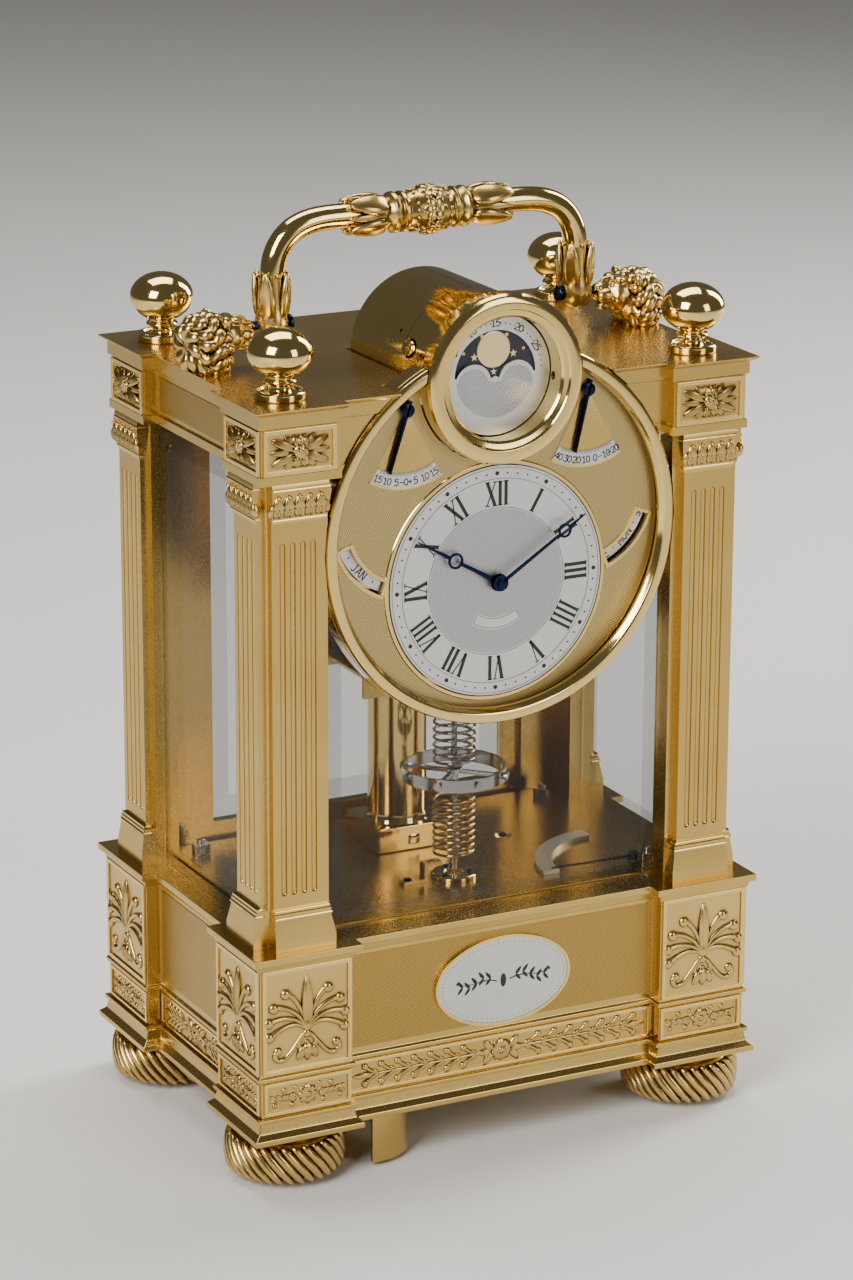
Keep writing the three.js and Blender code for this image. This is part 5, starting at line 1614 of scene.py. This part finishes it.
# %% Moon disc and its mask
MOON_WINDOW = 15.6
HUMP_RADIUS = 6.9
HUMP_X = 8.4
HUMP_Z = -2.6
moon_low, moon_high = low_high("moon_disc")
moon_field = disc("moon_disc_turned", moon_high.x, moon_low.y, moon_high.y, 0, DOCK_Z, bevel=0.05)
dress(moon_field, NIGHT_ENAMEL, "moon", "moon_enamel", "moon_disc")
gold = []
gold.append(turned("moon", [[0, -0.2], [6.1, -0.2], [6.5, 0], [0, 0]], (0, moon_low.y, DOCK_Z + 8.6),
                   "Y", 64))
for x, z, size in ((-7.5, 6.5, 1.5), (-10.6, 2.4, 1.0), (7.6, 6.6, 1.5), (10.8, 2.6, 1.0), (-4.6, 13.6, 0.9),
                   (5.0, 13.4, 0.9), (0, 0.8, 1.3), (-5.5, 2.4, 0.8), (5.6, 2.2, 0.8), (11.5, 8.0, 0.8),
                   (-11.6, 8.2, 0.8)):
    points = []
    for i in range(10):
        reach = size * (1.0 if i % 2 == 0 else 0.42)
        angle = math.tau * i / 10
        points.append([x + reach * math.sin(angle), DOCK_Z + z + reach * math.cos(angle)])
    gold.append(plate("star", points, moon_low.y - 0.12, moon_low.y, 0))
dress(join("moon_and_stars", gold), PALE_GOLD, "moon", "gilt_brass")

mask_low, mask_high = low_high("moon_mask")
upper = arc(MOON_WINDOW, MOON_WINDOW, 0, 180, 48, 0, DOCK_Z)
left_hump = arc(HUMP_RADIUS, HUMP_RADIUS, 160, 12, 20, -HUMP_X, DOCK_Z + HUMP_Z)
right_hump = arc(HUMP_RADIUS, HUMP_RADIUS, 168, 20, 20, HUMP_X, DOCK_Z + HUMP_Z)
window = [*upper, *left_hump, [0, DOCK_Z - 0.4], *right_hump]
window = [point for i, point in enumerate(window) if i == 0 or point != window[i - 1]]
mask = disc("moon_mask_turned", mask_high.x, mask_low.y, mask_high.y, 0, DOCK_Z, bevel=0.05)
cut(mask, plate("window", window, mask_low.y - 2, mask_high.y + 2, 0))
dress(mask, SILVERED, "root", "silvered_brass", "moon_mask")
inset = HUMP_RADIUS - 1
lower = [*arc(MOON_WINDOW - 0.6, MOON_WINDOW - 0.6, 190, 350, 40, 0, DOCK_Z),
         *arc(inset, inset, 20, 168, 20, HUMP_X, DOCK_Z + HUMP_Z - 0.6), [0, DOCK_Z - 2.6],
         *arc(inset, inset, 12, 160, 20, -HUMP_X, DOCK_Z + HUMP_Z - 0.6)]
dress(plate("moon_guilloche", lower, mask_low.y - 0.1, mask_low.y + 0.1, 0), TURNED_SILVER, "root",
      "silvered_brass")
age_lines = []
for day in range(1, 30):
    angle = 90 - (day - 15) * 6.1
    if not 2 < angle < 178:
        continue
    if day % 5 == 0:
        age_lines += turn_lines(word_lines(str(day), 2.4, 0.8), angle - 90, *polar(18.1, angle))
    else:
        age_lines.append([polar(17.9, angle), polar(18.2, angle)])
ages = place_page(stroke_mesh(age_lines, 0.36), 0, DOCK_Z, mask_low.y + 0.02)
dress(ages, BLACK_WAX, "root", "blued_steel")

# %% [markdown]
# The weekday and month discs are mostly hidden: only the part behind a slot is seen. They are
# built as whole discs with all their names, because they turn.

# %% Calendar discs
MONTHS = ("JAN", "FEB", "MAR", "APR", "MAY", "JUN", "JUL", "AUG", "SEPT", "OCT", "NOV", "DEC")
WEEKDAYS = ("MON", "TUE", "WED", "THU", "FRI", "SAT", "SUN") * 2
BAND_MIDDLE = 25.5
for node, body, first_angle, names in (("month_disc", "month", -136.25, MONTHS),
                                       ("weekday_disc", "weekday", -43.75, WEEKDAYS)):
    low, high = low_high(node)
    centre = middle(node)
    whole = disc(node + "_turned", (high.x - low.x) / 2 - 0.02, low.y, high.y, centre.x, centre.z,
                 bevel=0.05)
    dress(whole, SILVERED, body, "silvered_brass", node)
    lines = []
    for i, name in enumerate(names):
        angle = first_angle - 360 / len(names) * i
        lines += turn_lines(word_lines(name, 2.8, 0.86), angle + 90, *polar(BAND_MIDDLE, angle))
        between = angle + 180 / len(names)
        lines.append([polar(BAND_MIDDLE - 0.3, between), polar(BAND_MIDDLE + 0.3, between)])
    names_piece = place_page(stroke_mesh(lines, 0.42), centre.x, centre.z, low.y + 0.03)
    dress(names_piece, BLACK_WAX, body, "blued_steel")

# %% [markdown]
# The hands are blued steel with a ring near the tip, filed from one strip. The blade, the ring,
# the pointed tip and the boss are drawn on the page and laid out along the hand.

# %% Hands and pointers


def hand(name, angle, y0, y1, radius, ring_at, ring_radius, half_width, boss, tail=0.0):
    """A hand in its own place: angle clockwise from twelve, front at y0, radius its length."""
    way = Vector((math.sin(math.radians(angle)), math.cos(math.radians(angle))))
    side = Vector((way.y, -way.x))
    pieces = []

    def strip(start, end, wide_start, wide_end):
        corners = [way * start + side * wide_start, way * end + side * wide_end,
                   way * end - side * wide_end, way * start - side * wide_start]
        pieces.append(plate("strip", [[c.x, c.y] for c in corners], y0, y1, 0.1))

    if ring_radius:
        strip(-tail, ring_at - ring_radius + 0.3, half_width, half_width * 0.75)
        strip(ring_at + ring_radius - 0.3, radius, half_width * 0.8, 0.2)
        eye = way * ring_at
        pieces.append(turned("ring", [[ring_radius - 0.85, y0], [ring_radius, y0], [ring_radius, y1],
                                      [ring_radius - 0.85, y1]], (eye.x, 0, eye.y), "Y", 36,
                             ring=True, bevel=0.1))
    else:
        strip(-tail, radius, half_width, 0.15)
    pieces.append(turned("boss", [[0, y0], [boss, y0], [boss, y1], [0, y1]], axis="Y", segments=36,
                         bevel=0.12))
    return join(name, pieces)


def place_hand(piece, x, z):
    piece.location = (x * MM, 0, z * MM)
    return settle_place(piece)


hour = place_hand(hand("hour_hand_filed", -60, -56.4, -55.8, 36.3, 19.5, 2.9, 0.9, 3.2), 0, HANDS_Z)
dress(hour, BLUED_STEEL, "hour", "blued_steel", "hour_hand")
minute = place_hand(hand("minute_hand_filed", 57.4, -58.0, -57.4, 39.0, 29.6, 2.6, 0.65, 2.8), 0, HANDS_Z)
cap = turned("cap", [[0, -58.6], [1.5, -58.6], [1.6, -58.0], [0, -58.0]], (0, 0, HANDS_Z), "Y", 24,
             bevel=0.05)
dress(join("minute_hand_filed", [minute, cap]), BLUED_STEEL, "minute", "blued_steel", "minute_hand")
for node, body, side, angle in (("equation_pointer", "equation", -1, 197.4),
                                ("temperature_pointer", "temperature", 1, 192.5)):
    low, high = low_high(node)
    pointer = place_hand(hand(node + "_filed", angle, low.y, high.y, 22.6, 0, 0, 0.55, 2.3, 3.4),
                         side * SCALE_X, SCALE_Z)
    dress(pointer, BLUED_STEEL, body, "blued_steel", node)

# %% [markdown]
# The panes are bevelled: a wide slope runs round the outer face of each. A pane could be a box with
# a bevel modifier, but that bends every edge alike, so the slope is made by insetting the outer
# face and pushing its middle out. Each pane is a closed solid of clear glass.

# %% Glass


def pane(name, low, high, axis, outward, slope=6.5, depth=1.4):
    """A pane between two corners, with its outer face sloping down over the last millimetres."""
    made = block(name, low, high, 0)
    bpy.ops.object.mode_set(mode="EDIT")
    bpy.ops.mesh.select_all(action="DESELECT")
    bpy.ops.object.mode_set(mode="OBJECT")
    for polygon in made.data.polygons:
        if polygon.normal[axis] * outward > 0.9:
            polygon.select = True
    bpy.ops.object.mode_set(mode="EDIT")
    bpy.ops.mesh.select_mode(type="FACE")
    bpy.ops.mesh.inset(thickness=slope * MM, depth=0)
    bpy.ops.object.mode_set(mode="OBJECT")
    centre_face = [polygon for polygon in made.data.polygons if polygon.select]
    inner = {index for polygon in centre_face for index in polygon.vertices}
    for vertex in made.data.vertices:
        on_outer_face = abs(vertex.co[axis] - (low, high)[outward > 0][axis] * MM) < 1e-6
        if vertex.index not in inner and on_outer_face:
            vertex.co[axis] -= outward * depth * MM
    bpy.ops.object.shade_flat()
    made.data.materials.append(PANE_GLASS)
    made.data.materials.append(BEVEL_GLASS)
    for polygon in made.data.polygons:
        tilt = polygon.normal[axis] * outward
        polygon.material_index = 1 if 0.3 < tilt < 0.999 else 0
    return made


front_low, front_high = low_high("front_glass")
front_pane = pane("front_glass_bevelled", front_low, front_high, 1, -1)
cut(front_pane, rod("well", DIAL_RADIUS + 0.5, (0, -70, DIAL_Z), (0, -40, DIAL_Z), 144))
dress(front_pane, None, "root", "glass", "front_glass")
for node, axis, outward, body in (("left_glass", 0, -1, "root"), ("right_glass", 0, 1, "root"),
                                  ("door_glass", 1, 1, "door")):
    dress(pane(node + "_bevelled", *low_high(node), axis, outward, slope=7.5), None, body, "glass", node)

# %% [markdown]
# Inside, a thick turned column on a square foot carries the seat board that the movement stands on.

# %% Support column and seat board
COLUMN_Y = 22.0
column = turned("column", [
    [0, 88.4], [12.6, 88.4], [14.2, 90.5], [14.2, 94.0], [12.6, 96.5], [11.3, 98.5], [10.9, 101],
    [10.9, 150], [11.3, 152.5], [13.2, 156.8], [13.2, 161.0], [12.4, 163.9], [0, 163.9]],
    (0, COLUMN_Y, 0), segments=72)
foot_block = block("column_foot", (-14.5, 8, 88), (14.5, 36, 97.6), 0.8)
seat_low, seat_high = low_high("support_column")
seat = block("seat_board", (seat_low.x, seat_low.y, 164), (seat_high.x, seat_high.y, 167), 0.6)
cut(seat, rod("seat_hole", 1.2, (0, STAFF.y, 160), (0, STAFF.y, 170), 24))
dress(join("support_column_turned", [foot_block, column, seat]), POLISHED_GILT, "root", "gilt_brass",
      "support_column")

# %% [markdown]
# In front of the column swings the balance: a bright rim with timing screws, two crossed arms and
# a long staff between two helical springs.

# %% Balance
BALANCE_Z = STAFF.z
RIM_OUTER = 18.8
RIM_INNER = 17.6
RIM_HALF = 2.4
centre = (0, STAFF.y, 0)
rim_ring = turned("rim", [[RIM_INNER, BALANCE_Z - RIM_HALF], [RIM_OUTER, BALANCE_Z - RIM_HALF],
                          [RIM_OUTER, BALANCE_Z + RIM_HALF], [RIM_INNER, BALANCE_Z + RIM_HALF]],
                  centre, segments=144, ring=True, bevel=0.15)
balance = [rim_ring]
for i in range(2):
    arm = block("arm", (-RIM_INNER - 0.4, -0.9, -0.7), (RIM_INNER + 0.4, 0.9, 0.7), 0.2)
    arm.matrix_world = (Matrix.Translation((0, STAFF.y * MM, BALANCE_Z * MM))
                        @ Matrix.Rotation(math.radians(45 + 90 * i), 4, "Z"))
    balance.append(settle_place(arm))
for i in range(8):
    way = Vector((math.cos(math.tau * i / 8), math.sin(math.tau * i / 8), 0)) * RIM_OUTER / 19
    hub = Vector((0, STAFF.y, BALANCE_Z))
    for reach, radius in ((19.0, 1.0), (20.2, 1.5)):
        balance.append(rod("screw", radius, hub + way * (reach - 1.2), hub + way * reach, 24))
balance.append(turned("staff", [
    [0, 90.4], [1.1, 90.8], [1.1, 119], [1.6, 119.4], [1.6, 120.4], [3, 120.6], [3, 122.6], [1.6, 123],
    [1.6, 127.4], [3, 127.6], [3, 129.4], [1.6, 129.8], [1.1, 130.2], [1.1, 165.4], [0, 166]],
    centre, segments=32))
dress(join("balance_turned", balance), BRIGHT_STEEL, "balance", "bright_steel", "balance_wheel")

# %% [markdown]
# Each helical spring is a circle swept along a helix, with both ends led in towards the staff. On
# the clock one end is fixed to the staff and the other to the frame; here the wire is one fixed
# mesh that does not turn.

# %% Helical springs
WIRE = 0.55
COIL = 7.3


def spring(name, z0, z1, turns):
    """A round wire wound on a coil about the staff, with each end led in towards the staff."""
    steps = 28 * turns
    points = []
    for i in range(steps + 1):
        angle = math.tau * turns * i / steps
        points.append((COIL * math.cos(angle), COIL * math.sin(angle), z0 + (z1 - z0) * i / steps))
    path = [(1.4, 0, z0), (4.4, -0.4, z0), *points, (4.4, 0.4, z1), (1.4, 0, z1)]
    line = [(x, y + STAFF.y, z, 1) for x, y, z in path]
    return smooth(swept(name, [line], WIRE, "POLY", 3))


for name, z0, z1, turns, finish, slot, fixed in (
        ("upper_balance_spring", 131.0, 162.5, 11, BRIGHT_STEEL, "bright_steel", 162.5),
        ("lower_balance_spring", 96.5, 119.0, 9, GOLD_COIL, "gilt_brass", 96.5)):
    wire = spring(name + "_wound", z0, z1, turns)
    wire.data.materials.clear()
    wire.data.materials.append(finish)
    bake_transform(wire)
    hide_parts(name)

# %% [markdown]
# Small things finish the floor of the case: the pivot disc under the staff with its three screws,
# three larger screws, and four steel nuts on the studs that hold the plinth.

# %% Floor fittings
foot_low, foot_high = low_high("lower_pivot_disc")
foot_disc = turned("lower_pivot_disc_turned", [
    [1.3, 89.2], [3.2, 89.4], [3.6, foot_high.z], [7.8, foot_high.z], [8.4, foot_high.z - 0.6],
    [8.4, foot_low.z], [1.3, foot_low.z]], (0, STAFF.y, 0), segments=72, ring=True)
dress(foot_disc, POLISHED_GILT, "root", "gilt_brass", "lower_pivot_disc")


def slotted_screw(name, x, y, z, radius=1.3):
    """A domed blued screw head with a slot, standing on a floor at z."""
    screw = turned(name, [[0, z - 0.3], [radius, z - 0.3], [radius, z + 0.35], [radius * 0.7, z + 0.75],
                          [0, z + 0.85]], (x, y, 0), segments=28)
    half = radius * 1.2
    return cut(screw, block("slot", (x - half, y - 0.16, z + 0.45), (x + half, y + 0.16, z + 1.5), 0))


screws = []
for i in range(3):
    around = math.radians(90 + 120 * i)
    screws.append(slotted_screw("screw", 5.7 * math.cos(around), STAFF.y + 5.7 * math.sin(around),
                                foot_high.z, 1.0))
BRACKET_TOP = 89.4
for x, y, z in ((-18.6, STAFF.y, BRACKET_TOP), (36.9, 7.8, FLOOR), (-36.9, 7.8, FLOOR)):
    screws.append(slotted_screw("screw", x, y, z, 1.6))
dress(join("floor_screws", screws), BLUED_STEEL, "root", "blued_steel")
NUT_X = 71
NUT_Y = 40
nuts = []
for sx, sy in CORNERS.values():
    place = Vector((sx * NUT_X, sy * NUT_Y, FLOOR))
    nuts.append(soften(rod("nut", 3.6, place, place + Vector((0, 0, 3.6)), 6), 0.25))
    nuts.append(turned("stud", [[0, 0], [1.7, 0], [1.7, 5], [0.9, 5.6], [0, 5.6]], place, segments=24))
dress(join("floor_nuts", nuts), BRIGHT_STEEL, "root", "bright_steel")
